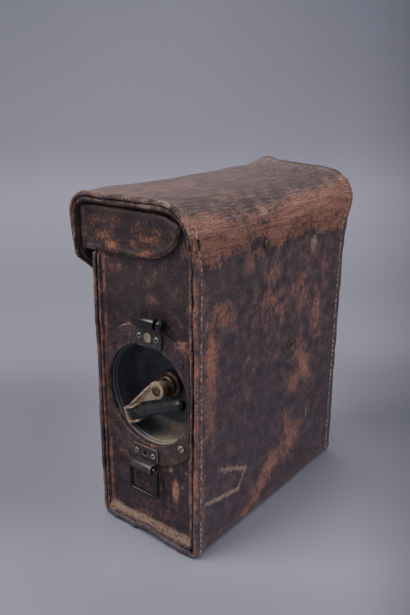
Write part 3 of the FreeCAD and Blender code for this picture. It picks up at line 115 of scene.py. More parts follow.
def noise3(x, y, z, seed=0):
    """Smooth value noise from -1 to 1 on arrays."""
    x, y, z = np.broadcast_arrays(np.asarray(x, float), np.asarray(y, float), np.asarray(z, float))
    base = [np.floor(v).astype(np.int64) for v in (x, y, z)]
    part = [v - b for v, b in zip((x, y, z), base)]
    part = [f * f * (3 - 2 * f) for f in part]
    total = np.zeros(x.shape)
    for i in (0, 1):
        for j in (0, 1):
            for k in (0, 1):
                n = ((base[0] + i) * 374761393 + (base[1] + j) * 668265263
                     + (base[2] + k) * 2147483647 + seed * 974634777) & 0xFFFFFFFF
                n = ((n ^ (n >> 13)) * 1274126177) & 0xFFFFFFFF
                n = (n ^ (n >> 16)) & 0xFFFF
                share = ((part[0] if i else 1 - part[0]) * (part[1] if j else 1 - part[1])
                         * (part[2] if k else 1 - part[2]))
                total += share * (n / 32767.5 - 1)
    return total


# Meshes

def new_piece(name, verts, faces, material, masks=None, fix_normals=True):
    """Object with its place in its mesh. masks are named values from 0 to 1, one for each vertex."""
    mesh = bpy.data.meshes.new(name)
    mesh.from_pydata([tuple(v) for v in np.asarray(verts) * MM], [], faces)
    for key, values in (masks or {}).items():
        layer = mesh.attributes.new(key, "FLOAT", "POINT")
        layer.data.foreach_set("value", np.asarray(values, np.float32).ravel())
    if fix_normals:
        work = bmesh.new()
        work.from_mesh(mesh)
        bmesh.ops.recalc_face_normals(work, faces=work.faces)
        work.to_mesh(mesh)
        work.free()
    mesh.shade_smooth()
    mesh.set_sharp_from_angle(angle=math.radians(50))
    obj = bpy.data.objects.new(name, mesh)
    bpy.context.scene.collection.objects.link(obj)
    mesh.materials.append(material)
    return obj


def tube_faces(rows, columns, closed_rows=False):
    """Quads of a grid whose columns close on themselves, and its rows too if asked."""
    faces = []
    for i in range(rows if closed_rows else rows - 1):
        a = i * columns
        b = ((i + 1) % rows) * columns
        for j in range(columns):
            k = (j + 1) % columns
            faces.append((a + j, a + k, b + k, b + j))
    return faces


def capped_tube(grid):
    """Vertices and faces of a tube with a face across each end."""
    rows, columns = grid.shape[:2]
    ends = [tuple(range(columns)), tuple(range((rows - 1) * columns, rows * columns))]
    return grid.reshape(-1, 3), tube_faces(rows, columns) + ends


def slab(x, y, z, back_x):
    """Grid of a curved front, followed by its flat back the other way round."""
    back = np.stack([np.full_like(x, back_x), y, z], -1)
    return np.concatenate([np.stack([x, y, z], -1), back[:, ::-1]], 1)


def both_faces(masks):
    return {key: np.concatenate([values, values[:, ::-1]], 1) for key, values in masks.items()}


def joined(parts):
    """One list of vertices and faces, and one set of masks, from several; a mask that a part lacks is 0."""
    verts, faces = [], []
    masks = {key: [] for part in parts for key in part[2]}
    for part_verts, part_faces, part_masks in parts:
        start = len(verts)
        verts.extend(np.asarray(part_verts).tolist())
        faces.extend(tuple(start + i for i in face) for face in part_faces)
        for key in masks:
            masks[key].extend(np.asarray(part_masks.get(key, np.zeros(len(part_verts)))).ravel().tolist())
    return verts, faces, masks


def rounded_path(points, straight, bend):
    """Samples of an open path of (y, z, radius) points: places, outward normals, distances."""
    spots = [np.array(p[:2], float) for p in points]
    samples = [spots[0]]
    for i in range(1, len(points)):
        start = end = spots[i]
        centre = None
        if i < len(points) - 1:
            radius = points[i][2]
            back = spots[i - 1] - spots[i]
            ahead = spots[i + 1] - spots[i]
            back /= np.linalg.norm(back)
            ahead /= np.linalg.norm(ahead)
            half = math.acos(float(back @ ahead)) / 2
            start = spots[i] + back * radius / math.tan(half)
            end = spots[i] + ahead * radius / math.tan(half)
            middle = back + ahead
            centre = spots[i] + middle / np.linalg.norm(middle) * radius / math.sin(half)
        run = start - samples[-1]
        pieces = max(1, math.ceil(np.linalg.norm(run) / straight))
        samples += [samples[-1] + run * (n + 1) / pieces for n in range(pieces)]
        if centre is not None:
            a0 = math.atan2(*(start - centre)[::-1])
            turn = math.atan2(*(end - centre)[::-1]) - a0
            turn = (turn + math.pi) % (2 * math.pi) - math.pi
            pieces = max(3, math.ceil(radius * abs(turn) / bend))
            for n in range(pieces):
                a = a0 + turn * (n + 1) / pieces
                samples.append(centre + radius * np.array([math.cos(a), math.sin(a)]))
    place = np.array(samples)
    along = np.gradient(place, axis=0)
    along /= np.linalg.norm(along, axis=1)[:, None]
    normal = np.stack([along[:, 1], -along[:, 0]], 1)
    steps = np.linalg.norm(np.diff(place, axis=0), axis=1)
    return place, normal, np.concatenate([[0], np.cumsum(steps)])


def shell_path():
    """Outline of the leather from the front's top edge, under the base, up the back and over to the flap."""
    return rounded_path([(-HALF_DEPTH, PANEL_TOP), (-HALF_DEPTH, 0, 5), (HALF_DEPTH, 0, 5),
                         (HALF_DEPTH, HEIGHT, 27), (FLAP_Y, HEIGHT, 16), (FLAP_Y, FLAP_LOW)], 1.8, 1.2)


def shell_width(place, front_wall):
    """Half width of the leather at each sample of its outline."""
    y, z = place[:, 0], place[:, 1]
    lid = smooth(198, 224, z)
    wide = HALF_LENGTH + (LID_HALF - HALF_LENGTH) * lid
    wide = np.where(front_wall, HALF_LENGTH, wide)
    wide = np.where(front_wall & (z > 201.5), PANEL_X, wide)
    flap = (~front_wall) & (y < FLAP_Y + 1) & (z < FLAP_CORNER)
    taper = LID_HALF - (FLAP_CORNER - z) / math.tan(FLAP_SLOPE)
    low_half = LID_HALF - (FLAP_CORNER - FLAP_LOW) / math.tan(FLAP_SLOPE)
    corner = 14.0
    foot = low_half - corner * math.tan(FLAP_SLOPE / 2)
    arc = foot + np.sqrt(np.clip(corner ** 2 - (FLAP_LOW + corner - z) ** 2, 0, None))
    taper = np.where(z < FLAP_LOW + corner * (1 - math.cos(FLAP_SLOPE)), arc, taper)
    soft = LID_HALF - 0.5 * (FLAP_CORNER - z + 4) / math.tan(FLAP_SLOPE)
    taper = np.minimum(taper, np.where(z > FLAP_CORNER - 4, soft, taper))
    return np.where(flap, taper, wide)


def shell_section(radius):
    """Closed cross-section: share of the half width, extra width and depth below the outer face."""
    near = [0, 0.7, 1.5, 2.3, 3.1, 3.9, 4.6, 5.2, 5.8, 6.4, 7.0, 7.8, 8.8, 10.2, 12, 14]
    far = list(np.arange(16.5, 95, 2.6))
    inside = [1 - d / 95 for d in near + far]
    outer = [-s for s in inside] + [0] + inside[::-1]
    rows = [(s, 0, 0) for s in outer]
    angles = np.radians(np.arange(1, RIM_POINTS + 1) * 180 / (RIM_POINTS + 1))
    rows += [(1, radius * math.sin(a), -radius * (1 - math.cos(a))) for a in angles]
    rows += [(s, 0, -2 * radius) for s in outer[::-1]]
    rows += [(-1, -radius * math.sin(a), -radius * (1 + math.cos(a))) for a in angles]
    return np.array(rows)


# How far the lid's far rim has turned up: place along its outline, which is Y on the flat top, then the rise
FAR_RIM = [
    (-72, 0), (-62, 1.5), (-54, 3.6), (-48, 6.0), (-42, 8.6), (-37, 12.0), (-33, 12.4), (-28, 11.6),
    (-23, 9.8), (-18, 9.7), (-12, 8.6), (0, 7.6), (12, 7.0), (20, 6.8), (30, 7.4), (38.7, 7.4), (46, 5.4),
    (53, 3.2), (60, 1.8), (80, 1.0), (110, 0.6), (140, 0),
]


def far_rise(y, z, nz):
    """How far the lid's far rim has turned up, along its outline from the front over to the back."""
    angle = np.arccos(np.clip(nz, -1, 1))
    t = np.where(y < -46.5, -46.5 - 16 * angle, np.where(nz > 0.999, y, 17.5 + 27 * angle))
    t = np.where((y > 40) & (z < 214), 59.9 + 214 - z, t)
    return np.interp(t, *zip(*FAR_RIM)) * (z > 90)


def shell_shape(x, edge, y, z, ny, nz, s, front_wall):
    """How far the leather leaves its plain outline: outwards, and along X."""
    side = np.sign(x)
    top = smooth(0.3, 0.9, nz)
    back = smooth(0.5, 0.9, ny)
    base = smooth(0.5, 0.9, -nz)
    upper = smooth(196, 214, z) * (1 - front_wall)
    out = 0.55 * noise3(x / 70, s / 60, 3, 5) * (1 - base)
    out += 0.22 * noise3(x / 17, s / 15, 0, 8) * (1 - 0.7 * base)
    rim = np.exp(-(edge / 3.0) ** 2)
    out -= 0.6 * bell(edge, 6.0, 1.1) * (1 - base)
    out += 0.8 * bell(edge, 2.6, 2.2) * (1 - base)
    out += 0.35 * rim * noise3(s / 7, side * 3, 1, 11)
    # creases across the back's bend
    bend = upper * smooth(0.05, 0.4, ny + 0.5 * nz) * (1 - 0.6 * top)
    lines = noise3(x / 26 + 0.3 * noise3(x / 9, s / 9, 0, 2), s / 1.9, 0, 31)
    lines += 0.6 * noise3(x / 13, s / 1.1, 5, 32)
    out += 0.34 * bend * lines * smooth(2, 9, edge)
    # the lid's top sags between its rims, and its back bend has sunk
    lid_top = top * smooth(230, 238, z)
    inner = np.maximum(edge, 0)
    sag = 1.2 * lid_top * smooth(6, 40, edge) * smooth(-30, 0, y)
    out -= sag * (0.7 + 0.5 * noise3(x / 50, y / 40, 1, 3))
    out -= 2.0 * upper * bell(np.arctan2(nz, ny), math.radians(48), 0.5) * smooth(0, 14, edge)
    swollen = (1.3 + 1.7 * smooth(40, -30, x)) * smooth(-96, -58, x)
    out += swollen * smooth(3, 26, edge) * bell(y, -46, 24) * smooth(0.2, 0.9, nz) * (z > 220)
    # far end of the lid: a turned-up ear, and a bulged back corner
    far = x < 0
    rise = far_rise(y, z, nz) * far * (1 - front_wall)
    out += np.minimum(rise, 8.3) * np.exp(-(inner / 34) ** 1.5)
    out += np.maximum(rise - 8.3, 0) * np.exp(-(inner / 15) ** 1.5)
    swell = far * upper * np.exp(-(inner / 16) ** 2) * bell(z, 229, 15) * (1 - front_wall)
    along = -3.6 * swell
    # the rims wander a little, more at the foot
    wander = 0.55 * noise3(s / 19, side * 5, 7, 21) + 0.3 * noise3(s / 6, side * 5, 2, 22)
    along = along + side * rim * wander
    foot = base * np.exp(-(edge / 9.0) ** 2)
    arch = smooth(-12.0, -10.4, y) * smooth(22, 4, y)
    out -= foot * (2.9 * arch + 0.5 * (1 + noise3(y / 9, side * 4, 0, 17)))
    along = along + side * foot * (0.9 + 0.6 * noise3(y / 8, side * 2, 3, 19))
    # the case's upright edges lean in a touch half way up, as old leather does
    along = along - side * 0.7 * bell(z, 120, 70) * back * rim
    return out, along


# Marks on the broad back: x, z, half length along x, half length along z, turn in degrees, strength.
# A stroke is x, z, x, z, half width, strength.
BACK_WEAR = [
    (79, 141, 7, 32, 0, 0.86), (66, 168, 17, 8, 30, 0.66), (82, 101, 7, 24, 0, 0.56),
    (85, 190, 5, 24, 0, 0.3), (36, 200, 13, 8, -15, 0.5), (10, 184, 18, 14, 0, 0.42),
    (8, 160, 24, 22, 10, 0.46), (-30, 162, 22, 26, 0, 0.45), (-56, 142, 12, 30, -8, 0.55),
    (-38, 103, 10, 24, -22, 0.8), (-26, 92, 12, 10, 0, 0.62), (-18, 56, 8, 14, -10, 0.62),
    (-24, 40, 18, 15, -30, 0.6), (4, 31, 22, 11, -35, 0.68), (19, 19, 20, 9, -35, 0.7),
    (34, 8, 18, 6, -20, 0.5), (40, 104, 8, 16, 0, 0.24), (30, 128, 16, 10, 0, 0.28),
    (-66, 178, 12, 22, 0, 0.36), (56, 88, 12, 22, 0, 0.12), (88, 60, 4, 40, 0, 0.35),
    (-60, 60, 10, 22, 0, 0.12), (-82, 110, 6, 60, 0, 0.12), (58, 46, 26, 16, 0, 0.12),
    (-40, 195, 24, 16, 0, 0.36), (2, 131, 14, 14, 0, 0.3), (-60, 112, 10, 20, 0, 0.3),
]
BACK_RUB = [
    (-46, 197, 7, 11, 10, 0.8), (71, 203, 6, 6, 0, 0.62), (-50, 56.5, 1.5, 4.5, 10, 1.3),
    (16, 229, 5, 7, 0, 0.8), (10, 131, 1.4, 5, 0, 0.75), (-57, 146, 5, 12, 0, 0.6),
    (3, 33, 4, 7, -30, 0.55), (46, 182, 2.5, 3, 0, 0.62), (-24, 44, 6, 5, -40, 0.5),
    (70, 168, 4, 8, 20, 0.5), (25, 24, 6, 4, -30, 0.5), (-8, 48, 4, 8, -30, 0.45), (62, 8, 22, 3, 0, 0.4),
    (78, 178, 5, 6, 0, 0.45), (2, 182, 4, 8, 0, 0.42), (-36, 228, 12, 6, 0, 0.4),
]
BACK_STROKES = [
    (69, 58, 38, 45, 2.6, 0.8), (38, 45, 47, 32, 3.4, 0.75), (47, 32, 84, 39, 2.8, 0.85),
    (66, 54, 47, 42, 1.2, 0.5), (-20, 30, -32, 62, 1.0, 0.6), (-26, 34, -36, 56, 0.9, 0.55),
    (50, 70, 30, 78, 0.8, 0.4), (86, 160, 82, 172, 1.4, 0.7), (60, 110, 57, 96, 0.8, 0.45),
    (14, 206, 22, 190, 1.0, 0.45),
]


def patches(x, z, table):
    total = np.zeros(np.shape(x))
    for px, pz, rx, rz, turn, strength in table:
        a = math.radians(turn)
        u = (x - px) * math.cos(a) + (z - pz) * math.sin(a)
        v = -(x - px) * math.sin(a) + (z - pz) * math.cos(a)
        total = np.maximum(total, strength * np.exp(-((u / rx) ** 2 + (v / rz) ** 2)))
    return total


def strokes(x, z, table):
    total = np.zeros(np.shape(x))
    for x0, z0, x1, z1, width, strength in table:
        length = math.hypot(x1 - x0, z1 - z0)
        t = np.clip(((x - x0) * (x1 - x0) + (z - z0) * (z1 - z0)) / length ** 2, 0, 1)
        gap = np.hypot(x - x0 - t * (x1 - x0), z - z0 - t * (z1 - z0))
        total = np.maximum(total, strength * np.exp(-(gap / width) ** 2))
    return total


def shell_masks(x, edge, y, z, ny, nz, s, front_wall):
    """Where the finish has worn red, rubbed pale, faded grey, gathered dust or creased."""
    top = smooth(0.3, 0.9, nz)
    back = smooth(0.3, 0.8, ny) * (1 - front_wall)
    lid_top = top * smooth(228, 240, z)
    upper = smooth(0, 0.3, ny + nz) * (1 - front_wall)
    ragged = z + 5 * noise3(x / 12, 0, 0, 47) + 3 * noise3(x / 4, 0, 5, 48)
    band = upper * smooth(198, 210, ragged) * (1 - 0.75 * lid_top)
    wear = back * (0.14 + 0.8 * patches(x, z, BACK_WEAR))
    wear = np.maximum(wear, band * (0.63 + 0.24 * noise3(x / 30, s / 18, 1, 49)))
    wear = np.maximum(wear, lid_top * (0.32 + 0.22 * noise3(x / 38, y / 22, 0, 41)))
    rub = back * np.maximum(patches(x, z, BACK_RUB), strokes(x, z, BACK_STROKES))
    inner = np.maximum(edge, 0)
    rim = np.exp(-(inner / 3.0) ** 2)
    base = smooth(0.3, 0.8, -nz)
    worn_edge = rim * (0.56 + 0.3 * noise3(s / 16, x / 60, 2, 43)) * (1 - 0.7 * base - 0.3 * front_wall)
    wear = np.maximum(wear, worn_edge * (1 - 0.7 * lid_top))
    crest = smooth(222, 238, z) * (1 - front_wall) * (0.3 * smooth(-36, 0, y) - 0.06)
    worn_rim = 0.3 + crest + 0.36 * noise3(s / 6, x / 60, 8, 44)
    rub = np.maximum(rub, rim * worn_rim * (1 - 0.25 * base - 0.3 * front_wall))
    fade = np.maximum(lid_top, 0.35 * upper * smooth(212, 238, z)) * (1 - 0.85 * np.exp(-(inner / 5.5) ** 2))
    dust = 0.7 * bell(edge, 6, 1.5) + 0.35 * smooth(14, 1, z) * (1 - base)
    front = smooth(0.4, 0.9, -ny)
    wear = np.maximum(wear, front * (0.34 + 0.2 * noise3(x / 22, z / 30, 9, 46)))
    crease = smooth(197, 210, z) * (1 - front_wall) * (1 - 0.55 * lid_top * smooth(10, -30, y))
    return {"wear": wear, "rub": rub, "fade": fade, "dust": dust, "crease": crease}


def on_front(place):
    """Which samples of the outline lie on the case's front, before it turns under the base."""
    return np.arange(len(place)) < np.argmax(place[:, 1] < 10)


def shell_part(first, last):
    """Vertices, faces and masks of the leather between two samples of its outline."""
    place, normal, s = shell_path()
    front = on_front(place)
    radius = WRAP_THICK / 2
    share, extra, depth = shell_section(radius).T
    thick = 1 + (SOLE_THICK / WRAP_THICK - 1) * smooth(0.6, 0.95, -normal[:, 1])
    rows = slice(first, last)
    wide, thick = shell_width(place, front)[rows, None], thick[rows, None]
    x = share * (wide - radius * thick) + extra * thick
    off = depth * thick
    edge = wide - np.abs(x)
    y, z, ny, nz, along_path, on_wall = (np.repeat(values[rows, None], len(share), 1) for values in
                                         (*place.T, *normal.T, s, front.astype(float)))
    out, along = shell_shape(x, edge, y, z, ny, nz, along_path, on_wall)
    masks = shell_masks(x, edge, y, z, ny, nz, along_path, on_wall)
    grid = np.stack([x + along, y + ny * (off + out), z + nz * (off + out)], -1)
    # half-round free ends
    for end, free in ((0, first == 0), (-1, last == len(place))):
        if not free:
            continue
        middle = np.stack([x[end] + along[end], y[end] + ny[end] * (out[end] - radius),
                           z[end] + nz[end] * (out[end] - radius)], -1)
        inward = place[1] - place[0] if end == 0 else place[-2] - place[-1]
        way = np.array([0, *-inward]) / np.linalg.norm(inward)
        tip = np.array([middle + (grid[end] - middle) * math.cos(a) + way * radius * math.sin(a)
                        for a in np.radians((30, 55, 75))])
        if end == 0:
            grid = np.concatenate([tip[::-1], grid])
            masks = {k: np.concatenate([np.repeat(v[:1], len(tip), 0), v]) for k, v in masks.items()}
        else:
            grid = np.concatenate([grid, tip])
            masks = {k: np.concatenate([v, np.repeat(v[-1:], len(tip), 0)]) for k, v in masks.items()}
    count, columns = grid.shape[:2]
    faces = tube_faces(count, columns)
    outer = (columns - 2 * RIM_POINTS) // 2
    for a in (0, (count - 1) * columns):
        for j in range(outer - 1):
            inner = 2 * outer + RIM_POINTS - 1 - j
            faces.append((a + j, a + j + 1, a + inner - 1, a + inner))
        faces.append(tuple(a + outer - 1 + k for k in range(RIM_POINTS + 2)))
        faces.append(tuple(a + columns - RIM_POINTS - 1 + k for k in range(RIM_POINTS + 1)) + (a,))
    return grid.reshape(-1, 3), faces, masks


def shell_point(samples, side, inset):
    """Points on the leather's outer face, inset from its rim, and their outward normals."""
    place, normal, s = shell_path()
    front = on_front(place)
    x = side * (shell_width(place, front)[samples] - inset)
    (y, z), (ny, nz) = place[samples].T, normal[samples].T
    edge = np.full(len(samples), float(inset))
    out, along = shell_shape(x, edge, y, z, ny, nz, s[samples], front[samples].astype(float))
    return np.stack([x + along, y + ny * out, z + nz * out], -1), np.stack([0 * ny, ny, nz], -1)


def split_index():
    """The sample of the outline where the case's leather ends and the lid's begins."""
    place, normal, _ = shell_path()
    return int(np.argmax((normal[:, 1] > 0.99) & (place[:, 0] < 8)))


# End panels

def panel_height(y, z, crank_end):
    """X of the end panel's face at a place on it."""
    x = PANEL_X + 0.28 * noise3(y / 26, z / 34, 1, 61) + 0.12 * noise3(y / 9, z / 11, 4, 62)
    flat = smooth(58, 50, np.hypot(y, z - HUB_Z)) if crank_end else 0
    x = x - flat * (x - PANEL_X) * 0.9
    welt = 6.0 + 1.2 * smooth(-30, 38, y) + 0.8 * noise3(y / 11, 0, 3, 63)
    rise = np.clip((7.6 + welt - z) / welt, 0, 1)
    x = x + 2.9 * rise ** 1.9
    curl = np.clip((np.abs(y) - 34.6) / 5.2, 0, 1)
    return x + 2.2 * curl ** 2.2 * smooth(6, 16, z)


def panel_masks(y, z, crank_end):
    wear = 0.2 + 0.16 * noise3(y / 14, z / 18, 2, 71)
    wear = np.maximum(wear, 0.4 * smooth(14, 9, z))
    rub = 0.36 * patches(y, z, [(-6, 190, 22, 9, 0, 1.0), (22, 152, 8, 5, 0, 1.0), (33, 60, 4, 14, 0, 1.2)])
    strip = 12.0 + 1.4 * smooth(0, 38, y) + 0.8 * noise3(y / 8, 0, 1, 73)
    dust = 1.25 * smooth(strip + 0.6, strip - 0.6, z) + 0.12 * smooth(206, 190, z) * smooth(160, 186, z)
    curl = smooth(34.6, 37.5, np.abs(y))
    dust = np.maximum(dust, 0.3 * curl)
    wear = np.maximum(wear, curl * (0.5 + 0.25 * noise3(y / 30, z / 14, 7, 74)))
    if crank_end:
        wear = np.maximum(wear, patches(y, z, [(24, 44, 3.4, 8, 0, 1.3), (30, 150, 8, 5, -20, 0.7)]))
        rub = np.maximum(rub, patches(y, z, [(29, 153, 7, 1.6, 15, 0.9), (34, 140, 2.4, 12, -20, 0.62),
                                             (22.5, 46, 1.6, 6, 0, 0.66), (36, 70, 1.8, 14, 0, 0.7),
                                             (20, 60, 3, 7, 20, 0.55), (-22, 128, 9, 5, 30, 0.42)]))
    return {"wear": wear, "rub": rub, "dust": dust}


def ray_limit(angle, half, low, high, corner):
    """Distance from the hub to a rounded rectangle's edge along each angle."""
    c, s = np.cos(angle), np.sin(angle)
    reach = np.full(angle.shape, 1e9)
    with np.errstate(divide="ignore", invalid="ignore"):
        reach = np.minimum(reach, np.where(np.abs(c) > 1e-9, half / np.abs(c), 1e9))
        reach = np.minimum(reach, np.where(s > 1e-9, (high - HUB_Z) / s, 1e9))
        reach = np.minimum(reach, np.where(s < -1e-9, (low - HUB_Z) / s, 1e9))
    y, z = reach * c, HUB_Z + reach * s
    # pull the low corners in to their round
    for side in (-1, 1):
        cy, cz = side * (half - corner), low + corner
        outside = (side * (y - cy) > 0) & (z < cz)
        b = -(c * cy + s * (cz - HUB_Z))
        d = cy ** 2 + (cz - HUB_Z) ** 2 - corner ** 2
        root = -b + np.sqrt(np.clip(b * b - d, 0, None))
        reach = np.where(outside, np.minimum(reach, root), reach)
    return reach


def panel_part(crank_end):
    """Leather panel with its hole for the crank's recess, seen from +X."""
    angles = np.linspace(0, 2 * math.pi, 280, endpoint=False)
    inner = RECESS_R + 0.3 if crank_end else 0.6
    limit = ray_limit(angles, 39.8, 6.2, PANEL_TOP, 5.5)
    shares = np.linspace(0, 1, 46) ** (1.0 if crank_end else 0.8)
    radius = inner + (limit[:, None] - inner) * shares
    y = radius * np.cos(angles)[:, None]
    z = HUB_Z + radius * np.sin(angles)[:, None]
    x = panel_height(y, z, crank_end)
    loop = slab(x, y, z, PANEL_X - PANEL_THICK)
    masks = both_faces(panel_masks(y, z, crank_end))
    return loop.reshape(-1, 3), tube_faces(*loop.shape[:2], closed_rows=True), masks


def flange_part():
    """The panel's edge, turned outwards and sewn inside the wrap."""
    place, normal, s = rounded_path([(-FLANGE_Y, PANEL_TOP), (-FLANGE_Y, 5.15, 4.3), (FLANGE_Y, 5.15, 4.3),
                                     (FLANGE_Y, FLANGE_TOP)], 2.0, 0.8)
    profile = np.array([(0, 88.7), (0.05, 93.2), (-0.3, 94.0), (-0.9, 94.45), (-1.5, 94.4), (-2.0, 93.9),
                        (-2.3, 93.1), (-2.7, 92.2), (-3.3, 91.5), (-4.1, 91.0), (-4.15, 88.7)])
    off, x = profile.T
    lift = smooth(0.6, 0.95, -normal[:, 1])[:, None]
    edge_wave = 0.25 * noise3(s / 9, 0, 1, 81)[:, None] * (x > 93)
    off_rows = off[None] * (1 + 0.05 * lift)
    xs = x[None] + edge_wave + 0.5 * lift * (x > 93)
    ys = place[:, :1] + normal[:, :1] * off_rows
    zs = place[:, 1:] + normal[:, 1:] * off_rows
    xs = np.minimum(xs + 0 * ys, 96 - 4.7 * smooth(199, 202, zs) * (ys < 0))
    edge_line = smooth(93.6, 94.4, xs)
    spots = noise3(s / 8, 0, 4, 83)[:, None]
    masks = {"wear": 0.3 + 0.15 * edge_line - 0.15 * lift, "rub": edge_line * (0.36 + 0.36 * spots),
             "dust": 0.2 * edge_line * (1 - lift)}
    return *capped_tube(np.stack([xs, ys, zs], -1)), masks


def flipped_x(part):
    verts, faces, masks = part
    return np.asarray(verts) * (-1, 1, 1), faces, masks


# Cheeks of the lid

def cheek_edges(far):
    """Lower and upper limit of the cheek's pad against y, from its front to its free tip."""
    y = np.concatenate([np.linspace(-55.6, -52, 8), np.linspace(-50, 18, 36), np.linspace(19.5, 30.6, 18)])
    low = np.full_like(y, 203.0)
    low += 0.35 * noise3(y / 9, 0, 0, 91)
    turn = np.clip((y + 1.0) / 31.6, 0, 1)
    low = low + 22.0 * (1 - np.sqrt(np.clip(1 - turn ** 1.9, 0, 1)))
    high = 233.4 - 0.4 * smooth(-10, 12, y) - 0.024 * np.clip(y - 14, 0, None) ** 2
    high = high + 0.2 * noise3(y / 12, 0, 5, 92)
    if far:
        high = high + 0.6 * far_rise(np.minimum(y, 17.4), 240 + 0 * y, 1 + 0 * y) * smooth(29, 14, y)
    front_round = 1 - np.sqrt(1 - np.clip((-52.4 - y) / 3.2, 0, 0.999) ** 2)
    high = high - 3.5 * front_round
    low = low + 1.2 * front_round
    return y, low, np.maximum(high, low + 0.6)


def cheek_part(far):
    """Pad of the lid's end: a moulded leather piece with rounded edges."""
    y, low, high = cheek_edges(far)
    t = 0.5 - 0.5 * np.cos(np.linspace(0, math.pi, 40))
    t = np.sort(np.concatenate([t, [0.004, 0.012, 0.988, 0.996]]))
    z = low[:, None] + (high - low)[:, None] * t
    yy = np.repeat(y[:, None], len(t), 1)
    gap = np.minimum(z - low[:, None], high[:, None] - z)
    gap = np.minimum(gap, (yy - y[0] + 0.02) * 1.0)
    gap = np.minimum(gap, (y[-1] - yy) * 0.9 + 0.02)
    rim = np.sqrt(np.clip(1 - (1 - np.clip(gap / 1.5, 0, 1)) ** 2, 0, 1))
    x = CHEEK_X + 0.5 + 2.05 * rim
    x += (0.35 * bell(gap, 2.6, 1.3) + 0.3 * noise3(yy / 14, z / 10, 0, 95)
          + 0.1 * noise3(yy / 3, z / 3, 2, 96)) * smooth(0, 1.5, gap)
    x -= 0.5 * smooth(2.5, 9, gap)
    loop = slab(x, yy, z, CHEEK_X)
    rows, columns = loop.shape[:2]
    faces = tube_faces(rows, columns)
    half = columns // 2
    for row in (0, rows - 1):
        a = row * columns
        for j in range(half - 1):
            faces.append((a + j, a + j + 1, a + columns - 2 - j, a + columns - 1 - j))
    flake = patches(yy, z, [(-34, 214, 16, 7, 0, 0.6), (-27, 209, 10, 6, 0, 0.7), (-26, 225, 20, 8, 0, 0.48),
                            (3, 206.5, 12, 5, 10, 0.62), (7, 216, 20, 5.5, 0, 0.6), (-8, 212, 9, 5, 0, 0.55),
                            (-44, 222, 9, 10, 0, 0.46), (14, 222, 12, 5, 0, 0.5), (-4, 221, 10, 7, 0, 0.46)])
    edge_line = smooth(1.6, 0.4, gap)
    masks = {"wear": 0.2 + 0.2 * edge_line, "rub": 0.36 * edge_line + 0.36 * bell(z - low[:, None], 0.8, 1.4),
             "fade": 0.1 * edge_line, "dust": 0.12 * smooth(0.5, 2.5, gap) * smooth(5, 2.5, gap),
             "flake": flake}
    return loop.reshape(-1, 3), faces, both_faces(masks)


def cheek_flange_part(far):
    """The cheek's turned-out edge along the lid's front and top, and the groove beside it."""
    place, normal, s = rounded_path([(41.8, 221), (41.8, 238.5, 24.3), (-60.0, 238.5, 13.2), (-60.0, 201.5)],
                                    2.0, 0.9)
    profile = np.array([(0, 91.7), (0, 96.3), (-0.35, 96.95), (-1.1, 97.25), (-1.8, 97.0), (-2.3, 96.3),
                        (-2.6, 95.2), (-2.8, 93.6), (-3.2, 92.7), (-6.5, 92.3), (-6.6, 91.7)])
    off, x = profile.T
    level = smooth(0.5, 0.95, normal[:, 1]) * smooth(34, 20, place[:, 0])
    thick = 1 + 0.62 * level[:, None] * (off > -3.5)
    narrow = 1 - 0.5 * smooth(26, 40, place[:, 0])[:, None] * (off < -3)
    off_rows = off[None] * narrow * thick
    wave = 0.3 * noise3(s / 8, 0, 2, 85)[:, None] * (x > 95)
    if far:
        rise = far_rise(place[:, 0], place[:, 1] + 3, normal[:, 1])[:, None]
        off_rows = off_rows + rise * (1 + off / 12)[None]
    ys = place[:, :1] + normal[:, :1] * off_rows
    zs = place[:, 1:] + normal[:, 1:] * off_rows
    xs = x[None] + wave + 0 * ys
    grid = np.stack([xs, ys, zs], -1)
    edge_line = smooth(96.2, 97.1, xs)
    spots = noise3(s / 5, 0, 4, 86)[:, None] + 0.5 * noise3(s / 14, 0, 9, 87)[:, None]
    bright = smooth(-34, 8, place[:, :1])
    masks = {"wear": 0.22 + 0.12 * edge_line, "rub": edge_line * (0.26 + 0.34 * spots + 0.16 * bright),
             "fade": 0.12 * edge_line, "dust": 0.05 + 0 * xs, "crease": 0.4 * edge_line}
    return *capped_tube(grid), masks


# Ring round the recess, and the bowl

def ring_part():
    angles = np.linspace(0, 2 * math.pi, 240, endpoint=False)
    limit = np.minimum(50.5, 37.3 / np.maximum(np.abs(np.cos(angles)), 1e-6))
    soft = np.zeros_like(limit)
    for k in range(-3, 4):
        soft += np.roll(limit, k)
    limit = soft / 7 + 0.18 * noise3(np.cos(angles) * 4, np.sin(angles) * 4, 0, 55)
    inner = RECESS_R
    face = PANEL_X + 1.2
    profile = [(0, -1.4), (0, -0.5), (0.01, -0.12), (0.03, 0.0), (0.08, 0.04), (0.5, 0.02), (0.92, 0.04),
               (0.965, 0.0), (0.99, -0.18), (1.0, -0.6), (1.0, -1.4)]
    shares = np.array([p[0] for p in profile])
    depth = np.array([p[1] for p in profile])
    radius = inner + (limit[:, None] - inner) * shares
    y = radius * np.cos(angles)[:, None]
    z = HUB_Z + radius * np.sin(angles)[:, None]
    x = face + depth + 0.06 * noise3(y / 8, z / 8, 0, 57)
    grid = np.stack([x + 0 * y, y, z], -1)
    rows, columns = grid.shape[:2]
    rim = np.maximum(smooth(0.9, 1.0, shares), smooth(0.08, 0.0, shares))[None] + 0 * y
    # Both rims rubbed pale, with a painted highlight added along the upper-left side.
    masks = {"wear": 0.2 + 0.15 * rim + 0.1 * noise3(y / 10, z / 10, 2, 58),
             "rub": rim * (0.2 + 0.25 * smooth(-10, -40, y - 0.6 * (z - HUB_Z))
                           + 0.35 * noise3(y / 7, z / 7, 7, 59)),
             "dust": 0.12 + 0.15 * smooth(80, 62, z)}
    return grid.reshape(-1, 3), tube_faces(rows, columns, closed_rows=True), masks


